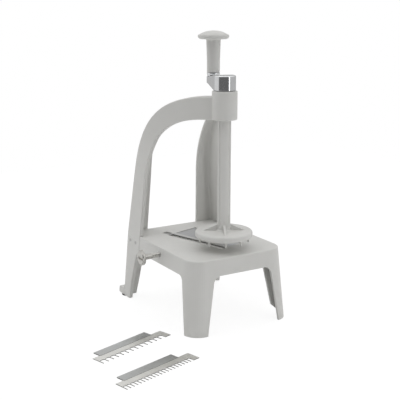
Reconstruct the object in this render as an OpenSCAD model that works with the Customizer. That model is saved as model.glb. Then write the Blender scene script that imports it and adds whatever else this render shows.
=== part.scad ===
// Vertical turning slicer: a stool-like table with a slanted blade, a double
// arch that carries a round collar, a grooved spindle with a toothed disc and
// a hand crank, and two loose comb blades that lie on the floor beside it.
// X runs to the right, Y to the back, Z up from the floor.

/* [Table] */
// Width of the tabletop
table_w = 130; // [122:0.5:140]
// Distance from the spin axis to the front edge of the tabletop
table_front = 35.4; // [34:0.2:44]
// Height of the tabletop above the floor
table_z = 89.2; // [80:0.2:100]
// Thickness of the tabletop
top_t = 3.6; // [3.2:0.1:4.5]
// Wall thickness of the skirt and the front legs
wall = 3; // [2.4:0.1:3.4]
// Depth of the skirt
skirt_h = 20.3; // [18:0.1:24]
// Radius of the front corners seen from above
corner_r = 20; // [14:0.5:24]
// Radius of the rounded edge round the tabletop
edge_r = 1.4; // [0.8:0.1:1.8]
// Height of the rear legs' plastic ends above the floor
leg_lift = 1.2; // [0.6:0.1:2]
// Half width of the front opening at the skirt, before its round corner
bay_top = 43; // [41:0.2:46]
// Half width of the front opening at the floor
bay_low = 53.2; // [51:0.2:55]
// Extra width of the front left leg at the skirt
more_top = 7.3; // [0:0.1:9]
// Extra width of the front left leg at the floor
more_low = 4.9; // [0:0.1:7]
// Radius of the upper corners of the front opening
bay_r = 10; // [6:0.5:12]
// Depth of a front leg from front to back at the skirt
leg_d = 24; // [20:0.5:28]
// Depth of a front leg from front to back at the floor
leg_d_low = 18; // [15:0.5:20]
// Radius of the corner behind a front leg, under the skirt
leg_r = 8; // [4:0.5:12]
// Step from a front leg's front wall out to its back wall
leg_step = 3.6; // [2:0.1:5]
// Height of the slanted end of a front leg's back wall
slant_h = 13; // [10:0.5:20]

/* [Frame] */
// Depth of a rail, from its front edge to its back face, at the tabletop
rail_h = 34.2; // [32:0.2:38]
// Width of the back flange of a rail at the tabletop
rail_f = 27.7; // [24:0.1:30]
// Thickness of the outer wall of a rail
rail_t = 5; // [4:0.1:6]
// Thickness of the back flange of a rail
flange_t = 3.4; // [3:0.1:4.5]
// Distance from the spin axis to the back face of the rails at the tabletop
rail_back = 130; // [128:0.2:136]
// Height at which the rails begin to curve
bend_z = 166.4; // [150:0.2:180]
// Drop from the top of the collar to the top of the arch beside it
arch_drop = 6.8; // [5.6:0.1:9.6]
// Length of the heel behind each rear leg
heel_l = 14; // [10:0.5:18]
// Height of the heel behind each rear leg
heel_h = 10.5; // [9.5:0.5:16]
// Width of the heel behind each rear leg
heel_w = 18; // [16:0.5:22]
// Height of the underside of the heel above the floor
heel_lift = 1.4; // [0.8:0.1:2.4]
// Radius of the rubber feet
foot_r = 7; // [5:0.1:7.5]
// Height of the rubber feet
foot_h = 2.4; // [2:0.1:4]

/* [Collar and bush] */
// Outer radius of the collar
collar_r = 14.9; // [14.4:0.1:17]
// Height of the top of the collar
collar_top = 278.6; // [276:0.1:280]
// Length of the collar
collar_l = 33.3; // [30:0.1:36]
// Outer radius of the bush
bush_r = 11.8; // [11:0.1:12]
// Radius of the rim at the top of the bush
bush_rim_r = 13.2; // [12.8:0.1:13.5]
// Thickness of the rim at the top of the bush
bush_rim_t = 1.6; // [1.2:0.1:2.4]

/* [Spindle] */
// Radius of the grooved column
column_r = 7.8; // [7.2:0.1:8.4]
// Radius of the cutter of the four long grooves
groove_r = 1.8; // [1.4:0.1:2.2]
// Depth of the four long grooves
groove_d = 0.9; // [0.6:0.1:1.2]
// Radius of the food disc
disc_r = 34.7; // [30:0.1:38]
// Height of the underside of the food disc
disc_z = 104.1; // [100:0.1:106]
// Thickness of the food disc
disc_t = 7.7; // [6.5:0.1:10]
// Turn of the ribs about the axis, from the front towards the left
rib_turn = 28; // [0:1:90]
// Radius at which the four ribs die out on the disc
rib_reach = 28; // [18:0.5:28]
// Height of the four ribs at the column
rib_h = 8; // [6:0.2:10]
// Thickness of the four ribs
rib_t = 3; // [2:0.1:4]
// Number of prongs under the disc
prongs = 9; // [8:1:14]
// Turn of the first prong from the front rib
prong_turn = 0; // [0:1:30]
// Radius of the ring of prongs
prong_ring = 29.5; // [26:0.5:32]
// Length of a prong
prong_l = 6.4; // [4:0.1:7]
// Radius of the steel core rod
rod_r = 3; // [2.6:0.1:3.4]
// Radius of the cross pin
pin_r = 1.5; // [1.2:0.1:1.8]
// Height of the cross pin above the disc
pin_rise = 11.2; // [10:0.1:14]

/* [Crank and knob] */
// Radius of the crank hub
hub_r = 12.9; // [12:0.1:14]
// Height of the crank hub
hub_h = 17.4; // [15:0.1:19]
// Distance between the spin axis and the knob axis
crank_l = 60; // [50:0.5:70]
// Turn of the crank from the back towards the right
crank_turn = 19.3; // [0:0.1:45]
// Radius of the far end of the crank
tip_r = 8.2; // [7.4:0.1:9]
// Thickness of the far end of the crank
tip_h = 8.2; // [7:0.1:10]
// Drop of the far end of the crank
tip_drop = 1.1; // [0:0.1:2]
// Height of the chrome ring under the knob
ring_h = 4.5; // [3.5:0.1:6]
// Radius of the knob stem at its foot
stem_r = 7.5; // [6.8:0.1:8]
// Length of the knob stem
stem_l = 39; // [34:0.5:44]
// Radius of the knob cap
cap_r = 19.5; // [17:0.1:21]
// Height of the knob cap
cap_h = 10.8; // [9:0.1:13]
// Radius of the steel axle of the knob
axle_r = 3; // [2.6:0.1:3.4]

/* [Fitted blade] */
// Distance of the cutting slot from the spin axis
slot_off = 4.4; // [3:0.1:6]
// Slant of the slot from the front to back line
slot_turn = 16.7; // [10:0.1:22]
// Length of the slot
slot_l = 91; // [80:0.5:92]
// Open width between the table and the cutting edge
slot_w = 5.2; // [4:0.1:6]
// Height of the cutting edge above the tabletop
edge_rise = 1.1; // [0.6:0.1:1.6]
// Width of the bright ground strip along the edge
strip_w = 7.4; // [5:0.1:9]
// Thickness of the fitted blade
blade_t = 1.2; // [1:0.1:1.6]
// Depth of the blade plate under the tabletop surface
blade_sink = 0.7; // [0.4:0.1:0.9]
// Width of the blade plate at its inner end
plate_near = 23; // [20:0.5:26]
// Width of the blade plate at its outer end
plate_far = 39; // [34:0.5:42]
// Length of the tang beyond the slot
tang_l = 12; // [12:0.5:18]
// Width of the tang
tang_w = 8; // [6:0.2:10]

/* [Thumb screw] */
// Distance of the thumb screw behind the spin axis
thumb_y = 43.6; // [38:0.2:50]
// Depth of the thumb screw axis under the tabletop
thumb_drop = 9.6; // [9:0.1:11]
// Radius of the thread
thumb_r = 3; // [2.5:0.1:3.2]
// Distance of the head from the skirt
thumb_out = 22; // [16:0.5:26]
// Radius of the head
thumb_head_r = 9.3; // [8:0.1:11]
// Thickness of the head
thumb_head_t = 4; // [3:0.1:5]

/* [Loose comb blades] */
// Length of a comb blade
comb_l = 105; // [90:0.5:110]
// Length of the wide plate of a comb blade
comb_plate_l = 79; // [70:0.5:84]
// Width of the wide plate of a comb blade
comb_plate_w = 10.7; // [9:0.1:13]
// Width of the strip of a comb blade, from the plate to the tops of the gaps
comb_strip_w = 10; // [8:0.1:12]
// Length of the teeth
comb_tooth_l = 7.5; // [5:0.1:8.5]
// Width of a tooth at its point
comb_point = 0.7; // [0.5:0.05:0.9]
// Thickness of a comb blade
comb_t = 1; // [0.8:0.1:1.4]
// Number of gaps in the coarse comb blade
coarse_n = 13; // [11:1:14]
// Number of gaps in the fine comb blade
fine_n = 20; // [18:1:21]
// Distance of the coarse comb blade to the left of the spin axis
coarse_x = 138.5; // [130:0.5:160]
// Distance of the coarse comb blade in front of the spin axis
coarse_y = 15; // [0:0.5:30]
// Turn of the coarse comb blade
coarse_turn = 17.5; // [0:0.5:30]
// Distance of the fine comb blade to the left of the spin axis
fine_x = 143; // [130:0.5:160]
// Distance of the fine comb blade in front of the spin axis
fine_y = 85.5; // [70:0.5:110]
// Turn of the fine comb blade
fine_turn = 15.5; // [0:0.5:30]

/* [Hidden] */

// clearances, overrun of every cut and fineness of curves
gap = 0.3;
seat = 0.15;
run_gap = 0.08;
over = 1;
thin = 0.02;
round_fn = 48;

// slopes of the outer faces below the tabletop and of the rails above it
splay_side = 0.062;
splay_front = 0.087;
splay_back = 0.055;
lean_in = 0.097;
lean_on = 0.086;
arch_ang = 35.9;

white = [0.8, 0.8, 0.78];
steel = [0.62, 0.63, 0.63];
chrome = [0.75, 0.75, 0.76];
black = [0.05, 0.05, 0.05];

// levels of the spindle and the crank, and the screw on top of the hub
disc_top = disc_z + disc_t;
hub_z = collar_top + gap * 2;
hub_socket = 6;
column_top = hub_z + hub_socket;
screw_r = 1.6;
screw_hole_l = 9;
screw_head_r = 5;
screw_head_t = 2.6;
hub_mid = hub_z + hub_h / 2;
hub_edge = 1.5;
rod_top = hub_z + hub_h - screw_head_t - over;

half_w = table_w / 2;
arch_z = collar_top - arch_drop;
table_back = rail_back - flange_t - gap;
under_z = table_z - skirt_h;

// outer half width, front face and back face of the base at a height
function side_at(z) = half_w + splay_side * (table_z - z);
function front_at(z) = -table_front - splay_front * (table_z - z);
function back_at(z) = rail_back + splay_back * (table_z - z);
// inner edge of the front legs at a height, on the right (1) or left (-1)
function bay_at(z, s) = bay_low - (bay_low - bay_top) * z / under_z
    - (s < 0 ? more_low + (more_top - more_low) * z / under_z : 0);
// back face of the front legs at a height
function leg_back_at(z) = front_at(z) + leg_d_low + (leg_d - leg_d_low) * z / under_z;

corner_steps = 12;
corner_turn = 90 / corner_steps;

// the base seen from above at a height: round front corners, square back
function base_outline(z, inset, back) =
    let (x = side_at(z) - corner_r)
    let (y = front_at(z) + corner_r)
    let (r = corner_r - inset)
    concat(
        [for (i = [0 : corner_steps]) [-x - r * cos(i * corner_turn), y - r * sin(i * corner_turn), z]],
        [for (i = [0 : corner_steps]) [x + r * sin(i * corner_turn), y - r * cos(i * corner_turn), z]],
        [[x + r, back, z], [-x - r, back, z]]
    );

// closed solid through outlines of as many points, from the lowest up
module loft(levels) {
    n = len(levels[0]);
    m = len(levels);
    polyhedron(
        points = [for (row = levels) for (p = row) p],
        faces = concat(
            [for (j = [1 : n - 2]) [0, j, j + 1]],
            [for (i = [0 : m - 2]) for (j = [0 : n - 1])
                let (k = (j + 1) % n)
                [i * n + j, (i + 1) * n + j, (i + 1) * n + k]],
            [for (i = [0 : m - 2]) for (j = [0 : n - 1])
                let (k = (j + 1) % n)
                [i * n + j, (i + 1) * n + k, i * n + k]],
            [for (j = [1 : n - 2]) [(m - 1) * n, (m - 1) * n + j + 1, (m - 1) * n + j]]
        )
    );
}

// solid between two levels of the tapered base
module base_block(z0, z1, inset, back) {
    loft([base_outline(z0, inset, back), base_outline(z1, inset, back)]);
}

// outer block of the table with a rounded top edge
module table_block() {
    loft(concat(
        [base_outline(0, 0, table_back)],
        [for (a = [0 : 30 : 90])
            base_outline(table_z - edge_r * (1 - sin(a)), edge_r * (1 - cos(a)), table_back)]
    ));
}

// half of the front opening, seen from the front, moved out by a step
module bay_half(s, step, top) {
    z0 = under_z - bay_r;
    x0 = bay_at(z0, s) + step;
    polygon(concat(
        [[0, -over], [s * (bay_at(-over, s) + step), -over]],
        [for (a = [0 : 10 : 90]) [s * (x0 - bay_r * (1 - cos(a))), z0 + bay_r * sin(a)]],
        [[s * (x0 - bay_r), top], [0, top]]
    ));
}

// outline of the side opening, seen from the side: first value is Y
module side_outline() {
    z0 = under_z - leg_r;
    polygon(concat(
        [[leg_back_at(-over), -over]],
        [for (a = [0 : 10 : 90]) [leg_back_at(z0) + leg_r * (1 - cos(a)), z0 + leg_r * sin(a)]],
        [[table_back + skirt_h, under_z], [table_back + skirt_h, -over]]
    ));
}

// turns an outline in Y and Z into a bar along X between two places
module along_x(x0, x1) {
    translate([x0, 0, 0])
        rotate([90, 0, 90])
            linear_extrude(x1 - x0) children();
}

// turns an outline in X and Z into a bar along Y between two places
module along_y(y0, y1) {
    translate([0, y1, 0])
        rotate([90, 0, 0])
            linear_extrude(y1 - y0) children();
}

// moves and turns into the blade's own frame: X across, Y along the slot
module at_blade() {
    translate([-slot_off, 0, table_z])
        rotate([0, 0, slot_turn])
            translate([0, -slot_start, 0]) children();
}

slot_start = 1.5;
plate_l = slot_l - gap;
strip_x = slot_w;
plate_x = slot_w + strip_w;
tang_x = slot_w - strip_w / 3;

// screws of the blade plate: across and along the slot
blade_screw_at = [[plate_x + plate_near / 2, slot_l / 5], [plate_x + plate_near / 2, slot_l * 2 / 3]];
blade_screw_r = 1.5;
blade_screw_head = 3;
blade_boss_r = 4;

// cuts of the table for the blade
module blade_cuts() {
    at_blade() {
        // slot right through, below the cutting edge
        translate([0, 0, -top_t - over])
            cube([slot_w + strip_w / 2, slot_l, top_t + 2 * over]);
        // shallow seat of the plate
        translate([0, 0, -blade_sink - blade_t - seat])
            linear_extrude(top_t)
                polygon([
                    [slot_w, -gap],
                    [plate_x + plate_near + gap, -gap],
                    [plate_x + plate_far + gap, slot_l],
                    [slot_w, slot_l]
                ]);
        // seat of the tang
        translate([tang_x - gap, slot_l - over, -blade_sink - blade_t - seat])
            cube([tang_w + 2 * gap, tang_l + gap + over, top_t]);
        for (p = blade_screw_at)
            translate([p[0], p[1], -top_t - skirt_h / 2])
                cylinder(r = blade_screw_r + seat, h = skirt_h);
    }
}

module table() {
    color(white)
    difference() {
        union() {
            difference() {
                table_block();
                // hollow under the tabletop
                base_block(-over, table_z - top_t, wall, table_back - wall);
                along_y(front_at(0) - over, table_back + over)
                    for (s = [-1, 1])
                        bay_half(s, 0, under_z);
                along_x(-side_at(0) - over, side_at(0) + over) side_outline();
            }
            for (s = [-1, 1]) {
                leg_back_wall(s);
                // wall behind the rail, which its screws hold
                translate([s * inner_x - (s > 0 ? wall : 0), rail_front, under_z])
                    cube([wall, table_back - rail_front, skirt_h - top_t / 2]);
                for (y = rail_screw_y)
                    translate([s * inner_x, y, rail_screw_z])
                        rotate([0, -s * 90, 0])
                            cylinder(r = screw_boss_r, h = screw_boss_l);
            }
            // boss of the clamp screw
            translate([-side_at(thumb_z) + wall / 2, thumb_y, thumb_z])
                rotate([0, 90, 0])
                    cylinder(r = insert_boss_r, h = insert_l);
            // bosses of the blade screws
            at_blade()
                for (p = blade_screw_at)
                    translate([p[0], p[1], -top_t - blade_boss_r])
                        cylinder(r = blade_boss_r, h = top_t + blade_boss_r - blade_sink - blade_t - seat);
        }
        // room for the rails at the back corners
        for (s = [-1, 1]) {
            translate([s > 0 ? inner_x : -side_at(0) - over, rail_front - gap, -over])
                cube([side_at(0) + over - inner_x, table_back, table_z + 2 * over]);
            for (y = rail_screw_y)
                translate([s * (inner_x + over), y, rail_screw_z])
                    rotate([0, -s * 90, 0])
                        cylinder(r = rail_screw_r + seat, h = rail_screw_l);
        }
        // hole of the threaded insert
        translate([-side_at(thumb_z) - wall, thumb_y, thumb_z])
            rotate([0, 90, 0])
                cylinder(r = insert_r + seat, h = insert_l + 2 * wall);
        blade_cuts();
    }
}

// the slanted lower end: shares of its width and of its height
slant_shares = [[0, 1.1], [0.1, 0.98], [0.33, 0.73], [0.58, 0.48], [0.84, 0.23], [1, 0.1]];

// back wall of a front leg, with an inner edge like that of the front wall
module leg_back_wall(s) {
    x0 = bay_at(slant_h, s) + leg_step;
    intersection() {
        base_block(0, table_z - top_t / 2, wall / 2, table_back);
        difference() {
            along_x(s > 0 ? 0 : -side_at(0), s > 0 ? side_at(0) : 0)
                polygon([
                    [leg_back_at(0) - wall, 0],
                    [leg_back_at(under_z) - wall, under_z],
                    [leg_back_at(under_z) - wall, table_z],
                    [leg_back_at(under_z), table_z],
                    [leg_back_at(under_z), under_z],
                    [leg_back_at(0), 0]
                ]);
            along_y(front_at(0), table_back) {
                bay_half(s, leg_step, table_z);
                polygon(concat(
                    [for (p = slant_shares) [s * (x0 + p[0] * (side_at(0) - x0)), p[1] * slant_h]],
                    [[s * side_at(0), -over], [s * (x0 - over), -over], [s * (x0 - over), slant_shares[0][1] * slant_h]]
                ));
            }
        }
    }
}

// rubber feet under the heels
stud_r = 2;
stud_h = 3;
shelf_z = foot_h + seat;
foot_out = 0.5;
rear_foot = [side_at(0) - foot_r + foot_out, back_at(0) + stud_r];

module foot() {
    color(black)
    rotate_extrude()
        polygon([
            [0, foot_h / 3],
            [foot_r * 2 / 3, 0],
            [foot_r, 0],
            [foot_r, foot_h / 4],
            [foot_r * 0.8, foot_h * 0.7],
            [foot_r * 0.7, foot_h],
            [stud_r, foot_h],
            [stud_r, foot_h + stud_h],
            [0, foot_h + stud_h]
        ]);
}

// rail screws: height, places along the rail, radii and length
rail_screw_z = table_z - skirt_h / 2 - seat * 2;
rail_screw_y = [rail_back - rail_h * 2 / 3 + seat, rail_back - rail_h / 4 + seat];
rail_screw_r = 1.6;
rail_screw_l = 14;
rail_head_r = 2.8;
rail_head_t = 2;
rail_head_in = 1.2;
screw_boss_r = 3.6;
screw_boss_l = 9;
rail_front = rail_back - rail_h;
inner_x = half_w - rail_t - gap / 2;

// section of a leg: shares of the height under the skirt, of the rail's depth
// and of its flange's width
leg_shares = [
    [0, 0.485, 0.614],
    [0.189, 0.515, 0.697],
    [0.377, 0.55, 0.758],
    [0.61, 0.661, 0.827],
    [0.813, 0.754, 0.903],
    [0.9, 0.819, 0.96],
    [0.958, 0.895, 1.011],
    [0.99, 0.965, 1.033],
    [1, 1, 1.036]
];
leg_table = [for (p = leg_shares) [max(leg_lift, p[0] * under_z), p[1] * rail_h, p[2] * rail_f]];

// the curved part: share of the way, shares of the rail's depth and flange
curve_shares = [[0, 0.83, 0.848], [0.45, 0.699, 0.639], [1, 0.798, 0.509]];
curve_table = [for (p = curve_shares) [p[0], p[1] * rail_h, p[2] * rail_f]];

function unit(v) = v / norm(v);
function smooth(w) = w * w * (3 - 2 * w);

rail_foot = [-half_w, rail_back, table_z];
rail_dir = [lean_in, -lean_on, 1];
bend_p = rail_foot + rail_dir * (bend_z - table_z);
arch_dir = [sin(arch_ang), -cos(arch_ang), 0];
arch_end = [-collar_r * cos(arch_ang) * 1.16, collar_r * sin(arch_ang) * 0.66, arch_z];
reach_1 = 60.2;
reach_2 = 80.7;
sink_in = 2;
ctrl_1 = bend_p + unit(rail_dir) * reach_1;
ctrl_2 = arch_end - arch_dir * reach_2;

function arch_point(u) = pow(1 - u, 3) * bend_p + 3 * pow(1 - u, 2) * u * ctrl_1
    + 3 * (1 - u) * u * u * ctrl_2 + pow(u, 3) * arch_end;
function arch_tangent(u) = unit(pow(1 - u, 2) * (ctrl_1 - bend_p)
    + 2 * (1 - u) * u * (ctrl_2 - ctrl_1) + u * u * (arch_end - ctrl_2));

// the six corners of the angle section: corner, direction, turn, depth, width
function section(c, t, turn, h, f) =
    let (l0 = [cos(turn), sin(turn), 0])
    let (l = unit(l0 - (l0 * t) * t))
    let (r = cross(l, t))
    [c, c + h * r, c + h * r + rail_t * l, c + rail_t * l + flange_t * r, c + f * l + flange_t * r, c + f * l];

curve_steps = 22;
rail_steps = 6;
up = [0, 0, 1];

function rail_stations() = concat(
    [for (row = leg_table) section([-side_at(row[0]), back_at(row[0]), row[0]], up, 0, row[1], row[2])],
    [section([-half_w, rail_back, table_z], up, 0, rail_h, rail_f)],
    [for (i = [1 : rail_steps])
        let (w = i / rail_steps)
        section(rail_foot + rail_dir * (bend_z - table_z) * w, unit(up * (1 - w) + rail_dir * w), 0,
            rail_h + (curve_table[0][1] - rail_h) * w, rail_f + (curve_table[0][2] - rail_f) * w)],
    [for (i = [1 : curve_steps])
        let (u = i / curve_steps)
        section(arch_point(u), arch_tangent(u), arch_ang * smooth(u),
            lookup(u, [for (row = curve_table) [row[0], row[1]]]),
            lookup(u, [for (row = curve_table) [row[0], row[2]]]))],
    [section(arch_end + arch_dir * sink_in, arch_dir, arch_ang, curve_table[2][1], curve_table[2][2])]
);

// one member: rear leg, rail and half of the arch
module member() {
    s = rail_stations();
    n = len(s);
    polyhedron(
        points = [for (row = s) for (p = row) p],
        faces = concat(
            [[0, 1, 2, 3], [0, 3, 4, 5]],
            [for (i = [0 : n - 2]) for (j = [0 : 5])
                let (k = (j + 1) % 6)
                [i * 6 + j, (i + 1) * 6 + j, (i + 1) * 6 + k]],
            [for (i = [0 : n - 2]) for (j = [0 : 5])
                let (k = (j + 1) % 6)
                [i * 6 + j, (i + 1) * 6 + k, i * 6 + k]],
            [[(n - 1) * 6 + 3, (n - 1) * 6 + 2, (n - 1) * 6 + 1, (n - 1) * 6],
                [(n - 1) * 6 + 5, (n - 1) * 6 + 4, (n - 1) * 6 + 3, (n - 1) * 6]]
        )
    );
}

// heel behind a rear leg, on the left side
module heel() {
    r = heel_h / 4;
    y0 = back_at(0) - flange_t / 2;
    translate([seat - side_at(0), 0, 0])
        difference() {
            rotate([90, 0, 90])
                linear_extrude(heel_w)
                    hull() {
                        translate([y0, heel_lift])
                            square([flange_t / 2, heel_h - r]);
                        translate([back_at(0) + heel_l - r, heel_lift + r])
                            circle(r = r, $fn = round_fn / 2);
                        translate([back_at(0) + heel_l - r, heel_h - r])
                            circle(r = r, $fn = round_fn / 2);
                    }
            // the outer face follows the slope of the leg
            translate([0, y0 - over, 0])
                rotate([0, atan(splay_side), 0])
                    translate([-heel_w, 0, -over])
                        cube([heel_w, heel_l + flange_t + 3 * over, heel_h + 3 * over]);
        }
}

module frame() {
    color(white)
    difference() {
        union() {
            for (s = [0, 1])
                mirror([s, 0, 0]) {
                    member();
                    heel();
                }
            translate([0, 0, collar_top - collar_l])
                cylinder(r = collar_r, h = collar_l);
        }
        // bore of the bush with the seat of its rim
        translate([0, 0, collar_top - collar_l - over])
            cylinder(r = bush_r + run_gap, h = collar_l + 2 * over);
        translate([0, 0, collar_top - bush_rim_t])
            cylinder(r = bush_rim_r + run_gap, h = bush_rim_t + over);
        for (s = [-1, 1]) {
            // holes of the feet
            translate([s * rear_foot[0], rear_foot[1], 0]) {
                cylinder(r = stud_r + seat, h = foot_h + stud_h + seat);
                cylinder(r = foot_r + gap, h = shelf_z);
            }
            // holes of the rail screws
            for (y = rail_screw_y)
                translate([s * side_at(rail_screw_z), y, rail_screw_z])
                    rotate([0, -s * 90, 0]) {
                        translate([0, 0, -over])
                            cylinder(r = rail_head_r + gap, h = rail_head_in + over);
                        cylinder(r = rail_screw_r + seat, h = 2 * rail_t);
                    }
        }
    }
}

module frame_screws() {
    color(steel)
    for (s = [-1, 1])
        for (y = rail_screw_y)
            translate([s * (side_at(rail_screw_z) - rail_head_in + seat), y, rail_screw_z])
                rotate([0, -s * 90, 0]) {
                    cylinder(r = rail_screw_r, h = rail_screw_l);
                    translate([0, 0, -rail_head_t])
                        cylinder(r1 = rail_head_r * 0.8, r2 = rail_head_r, h = rail_head_t);
                }
}

// the key that fits a groove of the column, as a bar along Z
groove_c = column_r + groove_r - groove_d;

module groove_bars(r, z, h) {
    rotate([0, 0, -rib_turn])
        for (i = [0 : 3])
            rotate([0, 0, 45 + 90 * i])
                translate([groove_c, 0, z])
                    cylinder(r = r, h = h);
}

module collar_bush() {
    color(white)
    difference() {
        union() {
            translate([0, 0, collar_top - collar_l])
                cylinder(r = bush_r, h = collar_l - bush_rim_t + seat);
            translate([0, 0, collar_top - bush_rim_t + seat])
                cylinder(r = bush_rim_r, h = bush_rim_t - seat);
        }
        difference() {
            translate([0, 0, collar_top - collar_l - over])
                cylinder(r = column_r + run_gap, h = collar_l + 2 * over);
            groove_bars(groove_r - run_gap, collar_top - collar_l - 2 * over, collar_l + 4 * over);
        }
    }
}

module pusher() {
    color(white)
    difference() {
        union() {
            difference() {
                translate([0, 0, disc_top - over])
                    cylinder(r = column_r, h = column_top - disc_top + over);
                groove_bars(groove_r, disc_top + rib_h, column_top);
            }
            // disc with a rounded upper edge
            translate([0, 0, disc_z])
                rotate_extrude()
                    polygon(concat(
                        [[0, 0], [disc_r - disc_t / 5, 0], [disc_r, disc_t / 5]],
                        [for (a = [0 : 15 : 90])
                            [disc_r - disc_t / 3 + disc_t / 3 * cos(a), disc_t * 0.6 + disc_t / 3 * sin(a)]],
                        [[0, disc_t]]
                    ));
            // ribs
            rotate([0, 0, -rib_turn])
                for (i = [0 : 3])
                    rotate([90, 0, 90 * i])
                        translate([0, 0, -rib_t / 2])
                            linear_extrude(rib_t)
                                polygon([
                                    [0, disc_top - disc_t / 2],
                                    [rib_reach, disc_top - disc_t / 2],
                                    [rib_reach, disc_top - disc_t / 15],
                                    [column_r - groove_d, disc_top + rib_h],
                                    [0, disc_top + rib_h]
                                ]);
            // prongs
            rotate([0, 0, -rib_turn])
                for (i = [0 : prongs - 1])
                    rotate([0, 0, i * 360 / prongs - prong_turn])
                        translate([0, -prong_ring, disc_z])
                            prong();
        }
        // bore of the core rod and hole of the cross pin
        translate([0, 0, disc_top])
            cylinder(r = rod_r + seat, h = column_top);
        rotate([0, 0, -rib_turn])
            translate([0, 0, disc_top + pin_rise])
                rotate([90, 0, 0])
                    cylinder(r = pin_r + seat, h = column_r + over);
    }
}

prong_w = 4.4;
prong_t = 1.6;

// a flat pointed prong under the disc
module prong() {
    translate([0, prong_t / 2, 0])
        rotate([90, 0, 0])
            linear_extrude(prong_t)
                polygon([
                    [-prong_w / 2, prong_l / 4],
                    [-prong_w / 2, 0],
                    [-prong_w / 7, -prong_l / 3],
                    [-prong_w / 9, -prong_l],
                    [prong_w / 9, -prong_l],
                    [prong_w / 7, -prong_l / 3],
                    [prong_w / 2, 0],
                    [prong_w / 2, prong_l / 4]
                ]);
}

module core_rod() {
    color(steel)
    difference() {
        translate([0, 0, disc_top + seat])
            cylinder(r = rod_r, h = rod_top - disc_top - seat);
        rotate([0, 0, -rib_turn])
            translate([0, rod_r + over, disc_top + pin_rise])
                rotate([90, 0, 0])
                    cylinder(r = pin_r + seat, h = 2 * (rod_r + over));
        translate([0, 0, rod_top - screw_hole_l])
            cylinder(r = screw_r + seat, h = screw_hole_l + over);
    }
}

module cross_pin() {
    color(white)
    rotate([0, 0, -rib_turn])
        translate([0, 0, disc_top + pin_rise])
            rotate([90, 0, 0])
                translate([0, 0, -rod_r + pin_r / 2])
                    cylinder(r = pin_r, h = column_r + rod_r - pin_r / 2 + seat);
}

// a disc with softened edges, one end of the crank arm
module soft_disc(r, h, e) {
    rotate_extrude($fn = round_fn)
        polygon([
            [0, -h / 2],
            [r - e, -h / 2],
            [r - e / 3, -h / 2 + e / 3],
            [r, -h / 2 + e],
            [r, h / 2 - e],
            [r - e / 3, h / 2 - e / 3],
            [r - e, h / 2],
            [0, h / 2]
        ]);
}

module crank() {
    color(chrome)
    difference() {
        hull() {
            translate([0, 0, hub_mid])
                soft_disc(hub_r, hub_h, hub_edge);
            rotate([0, 0, -crank_turn])
                translate([0, crank_l, hub_mid - tip_drop])
                    soft_disc(tip_r, tip_h, hub_edge / 2);
        }
        // socket of the column, hole of the rod, seat of the screw
        translate([0, 0, hub_z - over])
            cylinder(r = column_r + seat, h = hub_socket + over + seat);
        translate([0, 0, hub_z])
            cylinder(r = rod_r + seat, h = hub_h + over);
        translate([0, 0, hub_z + hub_h - screw_head_t - gap])
            cylinder(r = screw_head_r + seat, h = screw_head_t + 2 * over);
        // hole of the knob's axle
        rotate([0, 0, -crank_turn])
            translate([0, crank_l, hub_mid - 2 * tip_h])
                cylinder(r = axle_r + seat, h = 4 * tip_h);
        // flat seat of the ring
        at_knob()
            cylinder(r = ring_r + gap, h = hub_h);
    }
}

module crank_screw() {
    color(steel)
    translate([0, 0, hub_z + hub_h - screw_head_t - seat])
        difference() {
            union() {
                cylinder(r = screw_head_r, h = screw_head_t);
                translate([0, 0, -screw_hole_l + over])
                    cylinder(r = screw_r, h = screw_hole_l);
            }
            translate([0, 0, screw_head_t / 2])
                cylinder(r = screw_r, h = screw_head_t, $fn = 6);
        }
}

// the knob's own frame: its axis, from the top face of the arm
module at_knob() {
    rotate([0, 0, -crank_turn])
        translate([0, crank_l, hub_mid - tip_drop + tip_h / 2]) children();
}

ring_r = stem_r + ring_h / 9;

module knob_ring() {
    color(chrome)
    at_knob()
        translate([0, 0, seat])
            difference() {
                union() {
                    cylinder(r1 = stem_r, r2 = ring_r, h = ring_h * 3 / 4);
                    translate([0, 0, ring_h * 3 / 4])
                        cylinder(r = ring_r, h = ring_h / 4);
                }
                translate([0, 0, -over])
                    cylinder(r = axle_r + seat, h = ring_h + 2 * over);
            }
}

axle_in = 26;

module knob_axle() {
    color(steel)
    at_knob() {
        translate([0, 0, -tip_h + seat])
            cylinder(r = axle_r, h = tip_h + ring_h + axle_in);
    }
}

stem_flare = 1;
stem_top_r = stem_r + stem_flare;
knob_z = ring_h + gap;

module knob() {
    color(white)
    at_knob()
        translate([0, 0, knob_z])
            difference() {
                rotate_extrude()
                    polygon(concat(
                        [[0, 0], [stem_r, 0], [stem_r, stem_l / 3], [stem_top_r, stem_l]],
                        [[cap_r * 0.88, stem_l + cap_h * 0.02], [cap_r * 0.97, stem_l + cap_h * 0.1]],
                        [[cap_r, stem_l + cap_h * 0.22], [cap_r, stem_l + cap_h * 0.33]],
                        [[cap_r * 0.97, stem_l + cap_h * 0.44]],
                        [for (w = [0.9 : -0.1 : 0])
                            [cap_r * w, stem_l + cap_h * (1 - 0.56 * w * w / 0.94)]]
                    ));
                translate([0, 0, -over])
                    cylinder(r = axle_r + run_gap, h = axle_in + over);
            }
}

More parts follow.
